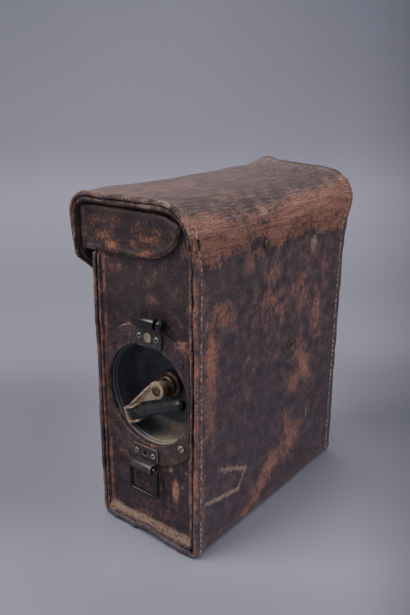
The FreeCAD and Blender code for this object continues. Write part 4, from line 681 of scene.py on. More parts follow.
def lathe(profile):
    """The bowl, turned round the crank's axis from its (x, radius) points, with its masks."""
    x, radius = np.array(profile, float).T
    angles = np.linspace(0, 2 * math.pi, 160, endpoint=False)[:, None]
    grid = np.stack([x[None] + 0 * angles, radius * np.cos(angles), HUB_Z + radius * np.sin(angles)], -1)
    rows, columns = grid.shape[:2]
    y, z = grid[..., 1], grid[..., 2] - HUB_Z
    inside = (grid[..., 0] > 66) & (np.hypot(y, z) > 27)
    # Pale tan along the bowl's lower inner wall, stronger to the right: settled dust, with painted light
    # where the lamps reach that wall.
    low = 0.9 * smooth(-25.5, -32, z) * inside * (0.06 + 0.94 * smooth(-9, 8, y))
    # Painted highlight on the lip's two beads, along its lower side.
    lip = bell(grid[..., 0], 85.7, 0.45) + bell(grid[..., 0], 88.5, 0.45)
    lip = 0.5 * lip * smooth(0, -26, z - 0.6 * y) * (0.6 + 0.5 * noise3(y / 5, z / 5, 0, 66))
    return grid.reshape(-1, 3), tube_faces(rows, columns, closed_rows=True), {"dust": low, "rub": lip}


def bowl_profile():
    """Points of (x, radius) round the bowl: up its inside, over its beads and lip, and down its outside."""
    inside = [(0, 6.5), (0, 26.0), (0.15, 28.5), (0.9, 30.5), (2.2, 32.0), (4.0, 33.2), (8.0, 34.6),
              (12.0, 35.3), (17.0, 35.6), (18.2, 35.6), (18.6, 35.2), (19.2, 35.0), (19.8, 35.2),
              (20.2, 35.7), (21.0, 35.75), (21.4, 35.4), (22.0, 35.2), (22.6, 35.35), (23.1, 35.85),
              (23.3, 36.35)]
    outside = [(22.0, 39.4), (22.0, 37.4), (10.0, 36.8), (3.0, 34.5), (-1.2, 28.0), (-1.2, 6.5)]
    return [(BOWL_FLOOR + rise, radius) for rise, radius in inside + outside]


# Softened copies of the metal and moulded pieces

def softened(node, name, material, width, edge=None):
    """A copy of a CAD node with its sharp edges rounded over, and worn to another finish if one is given."""
    mesh = NODES[node].data.copy()
    work = bmesh.new()
    work.from_mesh(mesh)
    bmesh.ops.remove_doubles(work, verts=work.verts, dist=1e-6)
    bmesh.ops.dissolve_limit(work, angle_limit=math.radians(0.6), verts=work.verts, edges=work.edges)
    work.to_mesh(mesh)
    work.free()
    mesh.name = name
    mesh.materials.clear()
    mesh.polygons.foreach_set("material_index", np.zeros(len(mesh.polygons), np.int32))
    mesh.materials.append(material)
    if edge:
        mesh.materials.append(edge)
    obj = bpy.data.objects.new(name, mesh)
    bpy.context.scene.collection.objects.link(obj)
    if width:
        bevel = obj.modifiers.new("edges", "BEVEL")
        bevel.material = 1 if edge else -1
        bevel.width = width * MM
        bevel.segments = 2
        bevel.limit_method = "ANGLE"
        bevel.angle_limit = math.radians(40)
        bevel.use_clamp_overlap = True
        bevel.harden_normals = False
        baked(obj)
    mesh = obj.data
    mesh.shade_smooth()
    mesh.set_sharp_from_angle(angle=math.radians(38))
    return obj


def baked(obj):
    """Turns an object's modifiers into its own plain mesh."""
    bpy.context.view_layer.update()
    graph = bpy.context.evaluated_depsgraph_get()
    mesh = bpy.data.meshes.new_from_object(obj.evaluated_get(graph), depsgraph=graph)
    old = obj.data
    obj.modifiers.clear()
    obj.data = mesh
    if old.users == 0:
        bpy.data.meshes.remove(old)
    mesh.name = obj.name
    return obj


# Materials

class Tree:
    """Short way to lay out a node tree."""

    def __init__(self, nodes):
        self.nodes = nodes.nodes
        self.links = nodes.links

    def put(self, socket, value):
        if isinstance(value, bpy.types.NodeSocket):
            self.links.new(value, socket)
        elif isinstance(value, (tuple, list)) and len(value) == 3 and socket.type == "RGBA":
            socket.default_value = (*value, 1)
        else:
            socket.default_value = value

    def add(self, kind, values=None, **settings):
        node = self.nodes.new(kind)
        for key, value in settings.items():
            setattr(node, key, value)
        for key, value in (values or {}).items():
            self.put(node.inputs[key], value)
        return node

    def math(self, operation, a, b=0.5, clamp=False):
        node = self.add("ShaderNodeMath", {0: a, 1: b}, operation=operation, use_clamp=clamp)
        return node.outputs[0]

    def times(self, a, b, clamp=False):
        return self.math("MULTIPLY", a, b, clamp)

    def plus(self, a, b, clamp=False):
        return self.math("ADD", a, b, clamp)

    def minus(self, a, b, clamp=False):
        return self.math("SUBTRACT", a, b, clamp)

    def ramp(self, value, low, high):
        node = self.add("ShaderNodeMapRange", {0: value, 1: low, 2: high}, interpolation_type="SMOOTHSTEP")
        return node.outputs[0]

    def mix(self, factor, a, b):
        node = self.add("ShaderNodeMix", data_type="RGBA")
        for index, value in ((0, factor), (6, a), (7, b)):
            self.put(node.inputs[index], value)
        return node.outputs[2]

    def noise(self, vector, size, detail=4, rough=0.6, stretch=(1, 1, 1), distortion=0.0):
        """Noise with features of about size millimetres."""
        scale = tuple(1000 / size / s for s in stretch)
        mapped = self.add("ShaderNodeMapping", {"Vector": vector, "Scale": scale})
        node = self.add("ShaderNodeTexNoise", {"Vector": mapped.outputs[0], "Scale": 1.0, "Detail": detail,
                                               "Roughness": rough, "Distortion": distortion})
        return node.outputs[0]

    def cells(self, vector, size):
        mapped = self.add("ShaderNodeMapping", {"Vector": vector, "Scale": (1000 / size,) * 3})
        return self.add("ShaderNodeTexVoronoi", {"Vector": mapped.outputs[0], "Scale": 1.0}).outputs[0]

    def facing_up(self):
        normal = self.add("ShaderNodeNewGeometry").outputs["Normal"]
        return self.add("ShaderNodeSeparateXYZ", {0: normal}).outputs[2]

    def attribute(self, name):
        return self.add("ShaderNodeAttribute", attribute_name=name).outputs["Fac"]


def new_group(name, inputs, outputs):
    group = bpy.data.node_groups.new(name, "ShaderNodeTree")
    for label, kind, value in inputs:
        socket = group.interface.new_socket(name=label, in_out="INPUT", socket_type=kind)
        if value is not None:
            socket.default_value = value
    for label, kind in outputs:
        group.interface.new_socket(name=label, in_out="OUTPUT", socket_type=kind)
    tree = Tree(group)
    source = tree.add("NodeGroupInput").outputs
    sink = tree.add("NodeGroupOutput").inputs
    return group, tree, source, sink


FLOAT, VECTOR = "NodeSocketFloat", "NodeSocketVector"


def grain_group():
    """Pores, fine creases and tone of old leather, with painted shade in the crease valleys and a painted
    highlight on the crease ridges.
    """
    group, t, source, sink = new_group("Leather grain", [("Vector", VECTOR, None), ("Crease", FLOAT, 0.0)],
                                       [("Height", FLOAT), ("Tone and valley shade", FLOAT), ("Ridge highlight", FLOAT)])
    v = source["Vector"]
    pores = t.cells(v, 2.0)
    fine = t.noise(v, 0.9, 4, 0.7)
    broad = t.noise(v, 9, 6, 0.62)
    lines = t.noise(v, 3.4, 5, 0.62, stretch=(7, 1, 1), distortion=0.8)
    folded = t.times(t.math("ABSOLUTE", t.minus(lines, 0.5)), 6.0, clamp=True)
    hairs = t.noise(v, 1.5, 4, 0.6, stretch=(9, 1, 1), distortion=0.4)
    fold = t.plus(t.times(folded, 1.9), t.times(hairs, 2.4))
    height = t.plus(t.times(pores, 0.5), t.times(fine, 1.0))
    height = t.plus(height, t.times(broad, 1.0))
    t.put(sink["Height"], t.plus(height, t.times(fold, source["Crease"])))
    tone = t.plus(t.times(t.ramp(broad, 0.3, 0.7), 0.7), t.times(t.ramp(fine, 0.3, 0.7), 0.45))
    # Painted shade: the tone is darkened along the crease valleys and lightened beside them.
    valley_shade = t.times(t.minus(0.5, folded), source["Crease"])
    t.put(sink["Tone and valley shade"], t.minus(tone, valley_shade, clamp=True))
    # Painted highlight along the crease ridges.
    ridge_highlight = t.times(t.ramp(folded, 0.55, 1.0), t.ramp(hairs, 0.45, 0.62))
    t.put(sink["Ridge highlight"], t.times(ridge_highlight, source["Crease"], clamp=True))
    return group


def wear_group():
    """A mask of ragged patches that grow with Amount, with upright streaks in them."""
    group, t, source, sink = new_group(
        "Ragged wear", [("Vector", VECTOR, None), ("Amount", FLOAT, 0.5), ("Size", FLOAT, 1.0)],
        [("Mask", FLOAT), ("Soft", FLOAT), ("Deep", FLOAT), ("Border", FLOAT)])
    scaled = t.add("ShaderNodeVectorMath", {0: source["Vector"]}, operation="SCALE")
    t.put(scaled.inputs["Scale"], source["Size"])
    v = scaled.outputs[0]
    ragged = t.noise(v, 9, 10, 0.76)
    streaks = t.noise(v, 1.3, 5, 0.7, stretch=(1, 1, 6))
    specks = t.noise(v, 1.5, 4, 0.75)
    mixed = t.plus(t.times(ragged, 0.5), t.times(streaks, 0.28))
    mixed = t.plus(mixed, t.times(specks, 0.22))
    level = t.plus(t.times(t.minus(mixed, 0.5), 9.5), t.times(t.minus(source["Amount"], 0.5), 2.7))
    t.put(sink["Mask"], t.ramp(level, -0.3, 0.5))
    t.put(sink["Soft"], t.ramp(level, -1.0, 0.9))
    t.put(sink["Deep"], t.ramp(level, 0.35, 0.95))
    t.put(sink["Border"], t.times(t.ramp(level, -0.3, 0.0), t.ramp(level, 0.34, 0.05)))
    return group


def scuff_group():
    """Thin pale scratches and pinpoint flecks."""
    group, t, source, sink = new_group(
        "Scuffs", [("Vector", VECTOR, None), ("Amount", FLOAT, 0.5)], [("Mask", FLOAT)])
    v = source["Vector"]
    upright = t.noise(v, 0.9, 3, 0.6, stretch=(1, 1, 7))
    leaning = t.add("ShaderNodeMapping", {"Vector": v, "Rotation": (0.0, 0.6, 0.3)}).outputs[0]
    slanted = t.noise(leaning, 0.8, 3, 0.6, stretch=(1, 1, 8))
    flecks = t.noise(v, 1.1, 2, 0.5)
    gate = t.ramp(t.noise(v, 22, 3, 0.6), 0.42, 0.66)
    lines = t.math("MAXIMUM", t.ramp(upright, 0.64, 0.74), t.ramp(slanted, 0.65, 0.75))
    dots = t.ramp(flecks, 0.66, 0.76)
    total = t.times(t.math("MAXIMUM", lines, dots), t.plus(gate, source["Amount"]), clamp=True)
    t.put(sink["Mask"], total)
    return group


def tarnish_group():
    """Cloudy tone and small pits of old metal or enamel."""
    group, t, source, sink = new_group(
        "Tarnish", [("Vector", VECTOR, None)], [("Cloud", FLOAT), ("Pits", FLOAT)])
    v = source["Vector"]
    t.put(sink["Cloud"], t.ramp(t.noise(v, 4.5, 6, 0.65), 0.32, 0.68))
    t.put(sink["Pits"], t.ramp(t.noise(v, 0.8, 3, 0.6), 0.60, 0.74))
    return group


GROUPS = {}


def group_node(t, name, values):
    makers = {"grain": grain_group, "wear": wear_group, "scuff": scuff_group, "tarnish": tarnish_group}
    if name not in GROUPS:
        GROUPS[name] = makers[name]()
    node = t.add("ShaderNodeGroup")
    node.node_tree = GROUPS[name]
    for key, value in values.items():
        t.put(node.inputs[key], value)
    return node.outputs


def new_material(name):
    material = bpy.data.materials.new(name)
    material.use_nodes = True
    tree = Tree(material.node_tree)
    shader = material.node_tree.nodes["Principled BSDF"]
    vector = tree.add("ShaderNodeTexCoord").outputs["Object"]
    return material, tree, shader, vector


def bumped(t, shader, height, strength, distance):
    bump = t.add("ShaderNodeBump", {"Strength": strength, "Distance": distance * MM, "Height": height})
    t.put(shader.inputs["Normal"], bump.outputs[0])


def toned(colour, share):
    return tuple(c * share for c in colour)


def between(a, b, share):
    return tuple((1 - share) * c + share * d for c, d in zip(a, b))


def leather(name, dark, brown, red, tan, faded, flaked=None):
    """Waxed leather: dark finish, worn through to red-brown, rubbed to tan, dusty in its corners, with
    painted shade and highlight on its creases and a painted highlight where the rub mask holds one.
    """
    material, t, shader, v = new_material(name)
    wear, rub, fade, dust, crease = (t.attribute(key) for key in ("wear", "rub", "fade", "dust", "crease"))
    grain = group_node(t, "grain", {"Vector": v, "Crease": crease})
    worn = group_node(t, "wear", {"Vector": v, "Amount": wear, "Size": 1.0})
    rubbed = group_node(t, "wear", {"Vector": v, "Amount": t.minus(rub, 0.05), "Size": 2.0})
    scuffs = group_node(t, "scuff", {"Vector": v, "Amount": wear})
    orange = between(red, tan, 0.45)
    speckle = t.ramp(t.noise(v, 1.6, 5, 0.7), 0.34, 0.66)
    colour = t.mix(grain["Tone and valley shade"], dark, brown)
    colour = t.mix(t.times(worn["Soft"], 0.72), colour, between(brown, red, 0.5))
    under = t.mix(speckle, toned(red, 0.46), toned(red, 1.2))
    core = t.times(worn["Deep"], t.ramp(t.noise(v, 2.6, 6, 0.75), 0.44, 0.58))
    under = t.mix(core, under, orange)
    colour = t.mix(t.times(worn["Mask"], 0.86), colour, under)
    grey = t.mix(grain["Tone and valley shade"], toned(faded, 0.7), toned(faded, 1.2))
    colour = t.mix(t.times(fade, 0.7), colour, grey)
    # Painted highlight: crease ridges lightened towards tan.
    colour = t.mix(t.times(grain["Ridge highlight"], 0.42), colour, toned(tan, 0.75))
    chips = t.times(worn["Border"], t.ramp(t.noise(v, 1.3, 4, 0.7), 0.5, 0.62))
    colour = t.mix(t.times(chips, 0.6), colour, tan)
    # Rubbed tan; on the recess ring's upper-left edge this is a painted highlight.
    colour = t.mix(t.times(rubbed["Mask"], t.plus(0.35, t.times(speckle, 0.55))),
                   colour, tan)
    colour = t.mix(t.times(scuffs["Mask"], 0.42), colour, toned(tan, 0.9))
    powder = t.times(dust, t.ramp(t.noise(v, 2.4, 6, 0.72), 0.33, 0.62), clamp=True)
    colour = t.mix(t.times(powder, 0.85), colour, (0.37, 0.25, 0.17))
    rough = t.plus(0.33, t.times(worn["Mask"], 0.14))
    rough = t.plus(rough, t.times(fade, 0.08))
    rough = t.plus(rough, t.times(powder, 0.35), clamp=True)
    height = t.minus(grain["Height"], t.times(worn["Mask"], 0.45))
    height = t.minus(height, t.times(rubbed["Mask"], 0.25))
    if flaked:
        flakes = group_node(t, "wear", {"Vector": v, "Amount": t.attribute("flake"), "Size": 5.0})
        colour = t.mix(flakes["Mask"], colour, t.mix(speckle, flaked, between(flaked, tan, 0.5)))
        height = t.minus(height, t.times(flakes["Mask"], 1.0))
        rough = t.plus(rough, t.times(flakes["Mask"], 0.25), clamp=True)
    t.put(shader.inputs["Base Color"], colour)
    t.put(shader.inputs["Roughness"], rough)
    shader.inputs["Specular IOR Level"].default_value = 0.6
    bumped(t, shader, height, 0.9, 0.6)
    return material


def metal(name, bright, dull, roughness, metallic=1.0, dust=0.0):
    """Old metal: bright where it is rubbed, dull and pitted elsewhere."""
    material, t, shader, v = new_material(name)
    aged = group_node(t, "tarnish", {"Vector": v})
    colour = t.mix(aged["Cloud"], bright, dull)
    colour = t.mix(t.times(aged["Pits"], 0.7), colour, toned(dull, 0.35))
    rough = t.plus(roughness, t.times(aged["Cloud"], 0.18))
    shine = t.minus(metallic, t.times(aged["Pits"], 0.5), clamp=True)
    if dust:
        up = t.facing_up()
        powder = t.times(t.ramp(up, 0.0, 0.9), t.ramp(t.noise(v, 2.5, 5, 0.7), 0.3, 0.7))
        powder = t.times(powder, dust)
        colour = t.mix(powder, colour, (0.27, 0.22, 0.16))
        rough = t.plus(rough, t.times(powder, 0.5), clamp=True)
        shine = t.minus(shine, powder, clamp=True)
    t.put(shader.inputs["Base Color"], colour)
    t.put(shader.inputs["Roughness"], rough)
    t.put(shader.inputs["Metallic"], shine)
    bumped(t, shader, aged["Pits"], 0.12, 0.2)
    return material


def enamel(name, colour, worn_to, roughness, dust, chips=0.0):
    """Black paint or moulding: soft gloss, small chips and a film of dust."""
    material, t, shader, v = new_material(name)
    aged = group_node(t, "tarnish", {"Vector": v})
    base = t.mix(aged["Cloud"], colour, tuple(c * 1.7 + 0.002 for c in colour))
    if chips:
        chipped = t.ramp(t.noise(v, 2.2, 6, 0.75), 0.74 - 0.1 * chips, 0.77 - 0.1 * chips)
        base = t.mix(chipped, base, worn_to)
    film = t.ramp(t.noise(v, 6.0, 6, 0.7), 0.38, 0.8)
    up = t.facing_up()
    powder = t.times(t.times(t.plus(t.ramp(up, 0.15, 0.95), 0.12), film), dust)
    # Settled dust; in the bowl this mask also holds painted light on the lower wall.
    settled = t.times(t.attribute("dust"), t.ramp(t.noise(v, 5, 6, 0.7), 0.3, 0.55))
    powder = t.plus(powder, settled, clamp=True)
    base = t.mix(powder, base, (0.36, 0.28, 0.20))
    # Rubbed to the worn colour; on the bowl's lip this is a painted highlight.
    base = t.mix(t.times(t.attribute("rub"), 0.8, clamp=True), base, worn_to)
    rough = t.plus(roughness, t.times(aged["Cloud"], 0.12))
    rough = t.plus(rough, t.times(powder, 0.6), clamp=True)
    t.put(shader.inputs["Base Color"], base)
    t.put(shader.inputs["Roughness"], rough)
    bumped(t, shader, aged["Pits"], 0.06, 0.2)
    return material


MATERIALS = {}


def material_of(key):
    """Each finish is made when it is first asked for."""
    if key in MATERIALS:
        return MATERIALS[key]
    finish = bpy.context.scene.field_telephone_finish
    dark, brown = tuple(finish.leather_dark), tuple(finish.leather_brown)
    red, tan, grey = tuple(finish.leather_worn), tuple(finish.leather_rubbed), tuple(finish.leather_faded)
    brass, black = tuple(finish.brass), tuple(finish.black)
    shared = (red, tan, grey)
    finishes = {
        "case leather": (leather, "case leather", dark, brown, *shared),
        "panel leather": (leather, "panel leather", (0.018, 0.0105, 0.0145), (0.058, 0.034, 0.041), *shared),
        "cheek leather": (leather, "cheek leather", (0.014, 0.009, 0.0115), (0.058, 0.036, 0.038), *shared,
                          (0.50, 0.165, 0.085)),
        "brass": (metal, "tarnished brass", brass, (0.16, 0.12, 0.07), 0.36, 1.0, 0.35),
        "dark brass": (metal, "dark brass", (0.26, 0.19, 0.12), (0.08, 0.055, 0.04), 0.34, 0.75, 0.15),
        "pale brass": (metal, "worn pale brass", (0.62, 0.52, 0.40), (0.30, 0.22, 0.15), 0.36, 0.7, 0.2),
        "worn arm": (metal, "worn crank arm", (0.60, 0.47, 0.34), (0.34, 0.235, 0.15), 0.38, 0.3, 0.15),
        "rust": (metal, "rusted edge", (0.36, 0.22, 0.13), (0.11, 0.055, 0.032), 0.5, 0.2),
        "steel": (metal, "dull steel", (0.62, 0.59, 0.55), (0.2, 0.18, 0.17), 0.3, 1.0, 0.2),
        "iron": (metal, "bare iron", (0.2, 0.2, 0.21), (0.07, 0.065, 0.06), 0.45, 0.8),
        "winding": (metal, "varnished winding", (0.30, 0.11, 0.035), (0.12, 0.045, 0.02), 0.35, 0.4),
        "black metal": (enamel, "black metal", black, (0.3, 0.26, 0.2), 0.15, 0.04, 0.4),
        "plate": (enamel, "bracket plate", (0.036, 0.027, 0.028), (0.32, 0.24, 0.17), 0.3, 0.12, 1.2),
        "worn edge": (enamel, "worn plate edge", (0.30, 0.22, 0.16), (0.05, 0.035, 0.03), 0.38, 0.1, 1.6),
        "bowl": (enamel, "bowl enamel", (0.052, 0.054, 0.070), (0.42, 0.38, 0.32), 0.42, 0.12, 0.2),
        "moulding": (enamel, "black moulding", (0.018, 0.018, 0.019), (0.1, 0.1, 0.1), 0.3, 0.1),
        "leathered head": (enamel, "leathered screw head", (0.045, 0.026, 0.03), (0.3, 0.2, 0.16), 0.36, 0.1,
                           1.2),
        "sheet": (enamel, "chassis paint", (0.055, 0.06, 0.048), (0.3, 0.3, 0.3), 0.5, 0.3, 0.3),
        "card": (enamel, "cell jacket", (0.2, 0.14, 0.07), (0.3, 0.25, 0.18), 0.7, 0.2),
        "thread": (thread, "waxed thread"),
    }
    make, *values = finishes[key]
    MATERIALS[key] = make(*values)
    return MATERIALS[key]


def thread(name):
    material, t, shader, v = new_material(name)
    tone = t.ramp(t.noise(v, 4, 5, 0.75), 0.4, 0.55)
    fibre = t.noise(v, 0.4, 2, 0.6)
    t.put(shader.inputs["Base Color"], t.mix(tone, (0.09, 0.058, 0.047), (0.60, 0.48, 0.40)))
    shader.inputs["Roughness"].default_value = 0.8
    bumped(t, shader, fibre, 0.4, 0.15)
    return material


# Stitches: laid along a line of points by Geometry Nodes

def stitch_tree():
    tree = bpy.data.node_groups.new("Stitch line", "GeometryNodeTree")
    face = tree.interface
    face.new_socket(name="Line", in_out="INPUT", socket_type="NodeSocketGeometry")
    for label, value in (("Pitch", 0.0045), ("Stitch length", 0.0034), ("Thread radius", 0.00045),
                         ("Wander", 0.2)):
        socket = face.new_socket(name=label, in_out="INPUT", socket_type="NodeSocketFloat")
        socket.default_value = value
    face.new_socket(name="Finish", in_out="INPUT", socket_type="NodeSocketMaterial")
    face.new_socket(name="Stitches", in_out="OUTPUT", socket_type="NodeSocketGeometry")
    t = Tree(tree)
    source = t.add("NodeGroupInput").outputs
    sink = t.add("NodeGroupOutput").inputs
    curve = t.add("GeometryNodeMeshToCurve", {"Mesh": source["Line"]})
    even = t.add("GeometryNodeResampleCurve", {"Curve": curve.outputs[0]}, mode="LENGTH")
    t.put(even.inputs["Length"], source["Pitch"])
    tangent = t.add("GeometryNodeInputTangent").outputs[0]
    points = t.add("GeometryNodeCaptureAttribute", {"Geometry": even.outputs[0]}, domain="POINT")
    points.capture_items.new("VECTOR", "tangent")
    t.put(points.inputs[1], tangent)
    body = t.add("GeometryNodeMeshUVSphere", {"Segments": 6, "Rings": 5, "Radius": 1.0})
    scale = t.add("ShaderNodeCombineXYZ")
    length = t.times(source["Stitch length"], 0.5)
    t.put(scale.inputs["X"], source["Thread radius"])
    t.put(scale.inputs["Y"], source["Thread radius"])
    t.put(scale.inputs["Z"], length)
    stitch = t.add("GeometryNodeTransform", {"Geometry": body.outputs[0], "Scale": scale.outputs[0]})
    align = t.add("FunctionNodeAlignRotationToVector", axis="Z")
    t.put(align.inputs["Vector"], points.outputs[1])
    turn = t.add("FunctionNodeRandomValue", data_type="FLOAT")
    low = t.times(source["Wander"], -1.0)
    for socket in turn.inputs:
        if socket.name == "Min" and socket.type == "VALUE":
            t.put(socket, low)
        if socket.name == "Max" and socket.type == "VALUE":
            t.put(socket, source["Wander"])
        if socket.name == "Seed":
            socket.default_value = 7
    swing = t.add("ShaderNodeCombineXYZ", {"X": turn.outputs[1]})
    t.put(swing.inputs["Y"], turn.outputs[1])
    rotate = t.add("FunctionNodeRotateRotation", rotation_space="LOCAL")
    euler = t.add("FunctionNodeEulerToRotation", {0: swing.outputs[0]})
    t.put(rotate.inputs[0], align.outputs[0])
    t.put(rotate.inputs[1], euler.outputs[0])
    many = t.add("GeometryNodeInstanceOnPoints", {"Points": points.outputs[0], "Instance": stitch.outputs[0],
                                                  "Rotation": rotate.outputs[0]})
    real = t.add("GeometryNodeRealizeInstances", {"Geometry": many.outputs[0]})
    done = t.add("GeometryNodeSetMaterial", {"Geometry": real.outputs[0], "Material": source["Finish"]})
    t.put(sink["Stitches"], done.outputs[0])
    return tree


def stitch_rows(name, lines, finish, pitch, length, radius):
    """One mesh of stitches along several lines of points, in millimetres."""
    verts, edges = [], []
    for line in lines:
        start = len(verts)
        verts += [tuple(p * MM) for p in line]
        edges += [(start + i, start + i + 1) for i in range(len(line) - 1)]
    mesh = bpy.data.meshes.new(name)
    mesh.from_pydata(verts, edges, [])
    obj = bpy.data.objects.new(name, mesh)
    bpy.context.scene.collection.objects.link(obj)
    tree = bpy.data.node_groups.get("Stitch line") or stitch_tree()
    modifier = obj.modifiers.new("stitches", "NODES")
    modifier.node_group = tree
    values = {"Pitch": pitch * MM, "Stitch length": length * MM, "Thread radius": radius * MM,
              "Finish": finish}
    for item in tree.interface.items_tree:
        if item.item_type == "SOCKET" and item.in_out == "INPUT" and item.name in values:
            modifier[item.identifier] = values[item.name]
    baked(obj)
    obj.data.shade_smooth()
    return obj


# Settings that a user would change

class FieldTelephoneFinish(bpy.types.PropertyGroup):
    leather_dark: bpy.props.FloatVectorProperty(
        name="Leather, dark", description="Waxed finish where it is whole", subtype="COLOR", size=3,
        default=(0.036, 0.024, 0.031), min=0, max=1)
    leather_brown: bpy.props.FloatVectorProperty(
        name="Leather, brown", description="Lighter tone in the finish", subtype="COLOR", size=3,
        default=(0.118, 0.078, 0.090), min=0, max=1)
    leather_worn: bpy.props.FloatVectorProperty(
        name="Leather, worn", description="Red-brown under the worn finish", subtype="COLOR", size=3,
        default=(0.45, 0.176, 0.118), min=0, max=1)
    leather_rubbed: bpy.props.FloatVectorProperty(
        name="Leather, rubbed", description="Tan where the leather is scraped", subtype="COLOR", size=3,
        default=(0.56, 0.375, 0.275), min=0, max=1)
    leather_faded: bpy.props.FloatVectorProperty(
        name="Leather, faded", description="Greyed finish of the lid's top", subtype="COLOR", size=3,
        default=(0.185, 0.12, 0.106), min=0, max=1)
    brass: bpy.props.FloatVectorProperty(
        name="Brass", description="Rubbed brass of screws and press fasteners", subtype="COLOR", size=3,
        default=(0.50, 0.40, 0.24), min=0, max=1)
    black: bpy.props.FloatVectorProperty(
        name="Black", description="Black paint of loops and bars", subtype="COLOR", size=3,
        default=(0.010, 0.010, 0.011), min=0, max=1)


class FieldTelephoneSizes(bpy.types.PropertyGroup):
    stitch_pitch: bpy.props.FloatProperty(
        name="Stitch pitch", description="From one stitch to the next, mm", default=4.4, min=2, max=10)
    stitch_length: bpy.props.FloatProperty(
        name="Stitch length", description="Length that shows of a stitch, mm", default=3.5, min=1, max=8)
    thread_radius: bpy.props.FloatProperty(
        name="Thread radius", description="Half the thread's thickness, mm", default=0.62, min=0.2, max=1.5)
    stitch_inset: bpy.props.FloatProperty(
        name="Stitch inset", description="From the leather's rim to the stitches, mm",
        default=6.0, min=3, max=12)
    edge_round: bpy.props.FloatProperty(
        name="Metal edge round", description="Round on the metal's sharp edges, mm",
        default=0.25, min=0.05, max=1)


# Operators

class CaseLeather(bpy.types.Operator):
    """Make the case's wrap and the two end panels"""
    bl_idname = "field_telephone.case_leather"
    bl_label = "Case leather"

    def execute(self, context):
        finish = material_of("case leather")
        split = split_index()
        verts, faces, masks = shell_part(0, split + 1)
        wrap = new_piece("case_leather_wrap", verts, faces, finish, masks)
        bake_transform(wrap)
        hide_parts("case_wrap")
        for crank_end, name, node in ((True, "crank_end_leather", "crank_end_panel"),
                                      (False, "far_end_leather", "far_end_panel")):
            parts = [panel_part(crank_end), flange_part()]
            if not crank_end:
                parts = [flipped_x(p) for p in parts]
            verts, faces, masks = joined(parts)
            piece = new_piece(name, verts, faces, material_of("panel leather"), masks)
            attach(piece, "case")
            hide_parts(node)
        return {"FINISHED"}


class LidLeather(bpy.types.Operator):
    """Make the lid with its flap, and its two cheeks"""
    bl_idname = "field_telephone.lid_leather"
    bl_label = "Lid leather"

    def execute(self, context):
        split = split_index()
        count = len(shell_path()[0])
        verts, faces, masks = shell_part(split, count)
        lid = new_piece("lid_leather_cover", verts, faces, material_of("case leather"), masks)
        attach(lid, "lid")
        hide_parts("lid_shell")
        finish = material_of("cheek leather")
        for side, name, node in ((1, "crank_side_cheek_pad", "crank_side_cheek"),
                                 (-1, "far_side_cheek_pad", "far_side_cheek")):
            parts = [cheek_part(side < 0), cheek_flange_part(side < 0)]
            if side < 0:
                parts = [flipped_x(p) for p in parts]
            verts, faces, masks = joined(parts)
            piece = new_piece(name, verts, faces, finish, masks)
            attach(piece, "lid")
            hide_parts(node)
        return {"FINISHED"}


class Stitching(bpy.types.Operator):
    """Sew the rims of the case and the lid"""
    bl_idname = "field_telephone.stitching"
    bl_label = "Stitching"

    def execute(self, context):
        sizes = context.scene.field_telephone_sizes
        place, normal, _ = shell_path()
        under = int(np.argmax(place[:, 1] < 5))
        back_start = int(np.argmax((place[:, 0] > 0) & (normal[:, 0] > 0.95)))
        hinge_low = int(np.argmax((place[:, 0] > 44) & (place[:, 1] > 206)))
        near_top, far_top = (int(np.argmax((place[:, 0] > 20) & (place[:, 1] > z))) for z in (227, 234.5))
        runs = {
            "case": [(4, under, (-1, 1)), (back_start, hinge_low, (-1, 1))],
            "hinge": [(hinge_low, near_top, (1,)), (hinge_low, far_top, (-1,))],
        }
        for key, spans in runs.items():
            lines = []
            for first, last, sides in spans:
                for side in sides:
                    points, out = shell_point(np.arange(first, last + 1), side, sizes.stitch_inset)
                    lines.append(points + out * 0.12)
            obj = stitch_rows(key + "_stitches", lines, material_of("thread"), sizes.stitch_pitch,
                              sizes.stitch_length, sizes.thread_radius)
            if key == "hinge":
                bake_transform(obj)
            else:
                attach(obj, key)
        return {"FINISHED"}


class Recess(bpy.types.Operator):
    """Make the ring and the bowl that the crank folds into"""
    bl_idname = "field_telephone.recess"
    bl_label = "Crank recess"

    def execute(self, context):
        verts, faces, masks = ring_part()
        ring = new_piece("recess_leather_ring", verts, faces, material_of("panel leather"), masks)
        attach(ring, "case")
        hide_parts("recess_ring")
        verts, faces, masks = lathe(bowl_profile())
        bowl = new_piece("crank_bowl_cup", verts, faces, material_of("bowl"), masks)
        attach(bowl, "case")
        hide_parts("crank_bowl")
        return {"FINISHED"}


SOFT_METAL = {
    "brass": ("snap_studs", "snap_sockets", "panel_screws", "terminal_posts", "selector_screw"),
    "dark brass": ("crank_bush", "back_screws", "crank_screw"),
    "pale brass": ("bracket_screw",),
    "leathered head": ("ring_screws", "ring_rivets"),
    "steel": ("bracket_rivets", "talk_switch", "crank_shaft"),
    "worn arm": ("crank_arm",),
    "plate": ("upper_bracket", "lower_bracket", "far_bracket"),
    "black metal": ("strap_loop", "far_strap_loop", "upper_bracket_bar", "handle_ferrule",
                    "handle_pivot_pin"),
    "moulding": ("handle_grip", "top_panel", "front_terminal_button", "back_terminal_button", "battery_cover",
                 "handset_body", "transmitter_cap", "receiver_cap"),
}
WORN_EDGES = {"crank_arm": "rust", "lower_bracket": "worn edge", "back_screws": "pale brass",
              "crank_screw": "pale brass"}
PLAIN = {
    "brass": ("drive_gear", "generator_plates", "ringer_gongs", "cell_contacts"),
    "steel": ("generator_spacers", "armature_pinion", "gong_posts", "ringer_clapper"),
    "iron": ("generator_magnets", "pole_pieces", "armature_core", "ringer_frame"),
    "winding": ("armature_winding", "ringer_coils", "induction_coil"),
    "sheet": ("chassis_frame", "capacitor"),
    "card": ("dry_cells",),
}


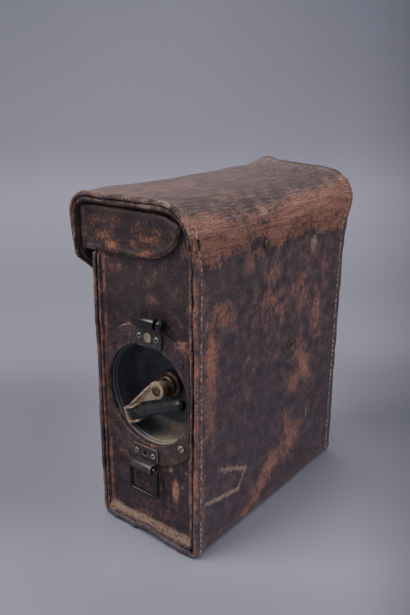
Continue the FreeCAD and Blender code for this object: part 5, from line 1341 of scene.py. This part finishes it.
class Metalwork(bpy.types.Operator):
    """Round the edges of the metal and moulded pieces and give them their finishes"""
    bl_idname = "field_telephone.metalwork"
    bl_label = "Metal and mouldings"

    def execute(self, context):
        width = context.scene.field_telephone_sizes.edge_round
        bodies = {n: body for body, names in frame["record"]["behaviour"]["bodies"].items() for n in names}
        for finish, nodes in SOFT_METAL.items():
            for node in nodes:
                edge = material_of(WORN_EDGES[node]) if node in WORN_EDGES else None
                piece = softened(node, node + "_finished", material_of(finish), width, edge)
                if node == "ring_screws":
                    bare_head(piece)
                if node == "upper_bracket":
                    black_barrel(piece)
                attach(piece, bodies[node])
                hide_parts(node)
        for finish, nodes in PLAIN.items():
            for node in nodes:
                mesh = NODES[node].data
                for index in range(len(mesh.materials)):
                    NODES[node].material_slots[index].material = material_of(finish)
        return {"FINISHED"}


def bare_head(screws):
    """The low back screw of the ring has lost its finish."""
    screws.data.materials.append(material_of("pale brass"))
    for face in screws.data.polygons:
        y, z = face.center.y / MM, face.center.z / MM
        if 1 < math.hypot(y - BARE_SCREW[0], z - BARE_SCREW[1]) < 6:
            face.material_index = 1


def black_barrel(bracket):
    """The bracket's rolled edge keeps its black gloss, its plate doesn't."""
    bracket.data.materials.append(material_of("black metal"))
    top = max(v.co.z for v in bracket.data.vertices) / MM
    for face in bracket.data.polygons:
        if face.center.z / MM > top - 8.5 or face.center.x / MM > 97:
            face.material_index = 1


class Stage(bpy.types.Operator):
    """Set the floor, the backdrop, the lights and the camera"""
    bl_idname = "field_telephone.stage"
    bl_label = "Stage"

    def execute(self, context):
        forward, right, up = Vector(CAMERA_FORWARD), Vector(CAMERA_RIGHT), Vector(CAMERA_UP)
        camera = bpy.data.objects.new("camera", bpy.data.cameras.new("camera"))
        camera.data.sensor_fit = "VERTICAL"
        camera.data.sensor_height = 36.0
        camera.data.lens = CAMERA_LENS
        turn = Matrix((right, up, -forward)).transposed().to_4x4()
        camera.matrix_world = Matrix.Translation(Vector(CAMERA_PLACE) * MM) @ turn
        camera.data.clip_start = 0.01
        context.scene.collection.objects.link(camera)
        context.scene.camera = camera

        away, side = Vector(AWAY), Vector(ACROSS)
        cove = [(1.1 + 0.9 * math.sin(a), 0.9 - 0.9 * math.cos(a)) for a in np.radians(np.arange(9, 91, 9))]
        profile = [(-2.2, 0.0), (-1.0, 0.0), (0.0, 0.0), (0.6, 0.0), (1.1, 0.0)] + cove
        profile += [(2.0, 1.6), (2.0, 3.2)]
        verts, faces = [], []
        across = np.linspace(-3.2, 3.2, 9)
        for d, h in profile:
            for c in across:
                p = away * d + side * float(c)
                verts.append((p.x / MM, p.y / MM, (h - 0.00005) / MM))
        for i in range(len(profile) - 1):
            for j in range(len(across) - 1):
                a = i * len(across) + j
                faces.append((a, a + len(across), a + len(across) + 1, a + 1))
        backdrop = new_piece("backdrop", verts, faces, backdrop_paper(), fix_normals=False)

        world = bpy.data.worlds.new("studio")
        world.use_nodes = True
        world.node_tree.nodes["Background"].inputs["Color"].default_value = (0.66, 0.66, 0.75, 1)
        world.node_tree.nodes["Background"].inputs["Strength"].default_value = 0.42
        context.scene.world = world
        target = Vector((0, 0, 0.12))
        view_left = -Vector((*CAMERA_RIGHT[:2], 0))
        toward = -away
        lights = [
            ("key softbox", target + view_left * 0.95 + toward * 0.35 + Vector((0, 0, 1.25)), 0.9, 17.0),
            ("top softbox", target + away * 0.35 + Vector((0, 0, 1.5)), 1.1, 12.0),
            ("fill softbox", target - view_left * 1.3 + toward * 0.9 + Vector((0, 0, 0.75)), 1.3, 9.5),
        ]
        for name, place, size, power in lights:
            data = bpy.data.lights.new(name, "AREA")
            data.shape = "SQUARE"
            data.size = size
            data.energy = power
            data.color = (1.0, 0.985, 0.97)
            lamp = bpy.data.objects.new(name, data)
            lamp.location = place
            lamp.rotation_euler = (target - place).to_track_quat("-Z", "Y").to_euler()
            context.scene.collection.objects.link(lamp)
        return {"FINISHED"}


def backdrop_paper():
    material, t, shader, v = new_material("backdrop paper")
    depth, across = (t.add("ShaderNodeVectorMath", {0: v, 1: way}, operation="DOT_PRODUCT").outputs["Value"]
                     for way in (AWAY, ACROSS))
    # Painted light in the paper's colour: brighter away from the camera towards the cove, then darker up the
    # wall.
    painted_light = t.plus(1.0, t.times(t.ramp(depth, 0.5, 1.33), 0.72))
    painted_light = t.minus(painted_light, t.times(t.ramp(depth, 1.36, 1.68), 0.36))
    # Painted shadows of the case on the floor to its left and right, and a painted pool of light on the floor
    # in front of it.
    left = t.times(t.ramp(depth, -0.12, -0.02), t.ramp(depth, 0.3, 0.12))
    left = t.times(left, t.ramp(across, -0.05, -0.18))
    right = t.times(t.ramp(depth, 0.03, 0.12), t.ramp(depth, 0.34, 0.2))
    right = t.times(right, t.ramp(across, 0.08, 0.15))
    near = t.times(t.ramp(depth, 0.06, -0.06), t.ramp(across, 0.22, 0.04))
    near = t.times(near, t.ramp(depth, -0.15, -0.1))
    near = t.times(near, t.ramp(across, -0.13, -0.06))
    for share, size in ((left, -0.32), (right, -0.22), (near, 0.24)):
        painted_light = t.times(painted_light, t.plus(1.0, t.times(share, size)))
    # Painted shade: darker in a fan towards the right, and more so up the wall on that side.
    slope = t.math("DIVIDE", across, t.plus(depth, 0.46))
    painted_light = t.times(painted_light, t.minus(1.0, t.times(t.ramp(slope, 0.2, 0.4), 0.44)))
    painted_shade = t.times(t.ramp(depth, 1.4, 2.0), t.ramp(slope, -0.1, 0.34))
    painted_light = t.times(painted_light, t.minus(1.0, t.times(painted_shade, 0.24)))
    tone = t.noise(v, 400, 2, 0.5)
    colour = t.mix(tone, (0.264, 0.262, 0.321), (0.292, 0.289, 0.354))
    lit = t.add("ShaderNodeVectorMath", {0: colour}, operation="SCALE")
    t.put(lit.inputs["Scale"], painted_light)
    t.put(shader.inputs["Base Color"], lit.outputs[0])
    shader.inputs["Roughness"].default_value = 0.9
    fibres = t.noise(v, 1.2, 3, 0.6)
    bumped(t, shader, fibres, 0.03, 0.2)
    return material


class FieldTelephonePanel(bpy.types.Panel):
    """Steps that dress the telephone"""
    bl_idname = "VIEW3D_PT_field_telephone"
    bl_label = "Field telephone"
    bl_space_type = "VIEW_3D"
    bl_region_type = "UI"
    bl_category = "Field telephone"

    def draw(self, context):
        layout = self.layout
        for group in (context.scene.field_telephone_sizes, context.scene.field_telephone_finish):
            for key in group.__annotations__:
                layout.prop(group, key)
        for step in STEPS:
            layout.operator(step.bl_idname)


STEPS = (Stage, CaseLeather, LidLeather, Stitching, Recess, Metalwork)
CLASSES = (FieldTelephoneFinish, FieldTelephoneSizes) + STEPS + (FieldTelephonePanel,)


def register():
    for cls in CLASSES:
        bpy.utils.register_class(cls)
    bpy.types.Scene.field_telephone_finish = bpy.props.PointerProperty(type=FieldTelephoneFinish)
    bpy.types.Scene.field_telephone_sizes = bpy.props.PointerProperty(type=FieldTelephoneSizes)


def unregister():
    del bpy.types.Scene.field_telephone_sizes
    del bpy.types.Scene.field_telephone_finish
    for cls in reversed(CLASSES):
        bpy.utils.unregister_class(cls)


def main():
    register()
    for step in STEPS:
        group, name = step.bl_idname.split(".")
        getattr(getattr(bpy.ops, group), name)()


if __name__ == "__main__":
    main()
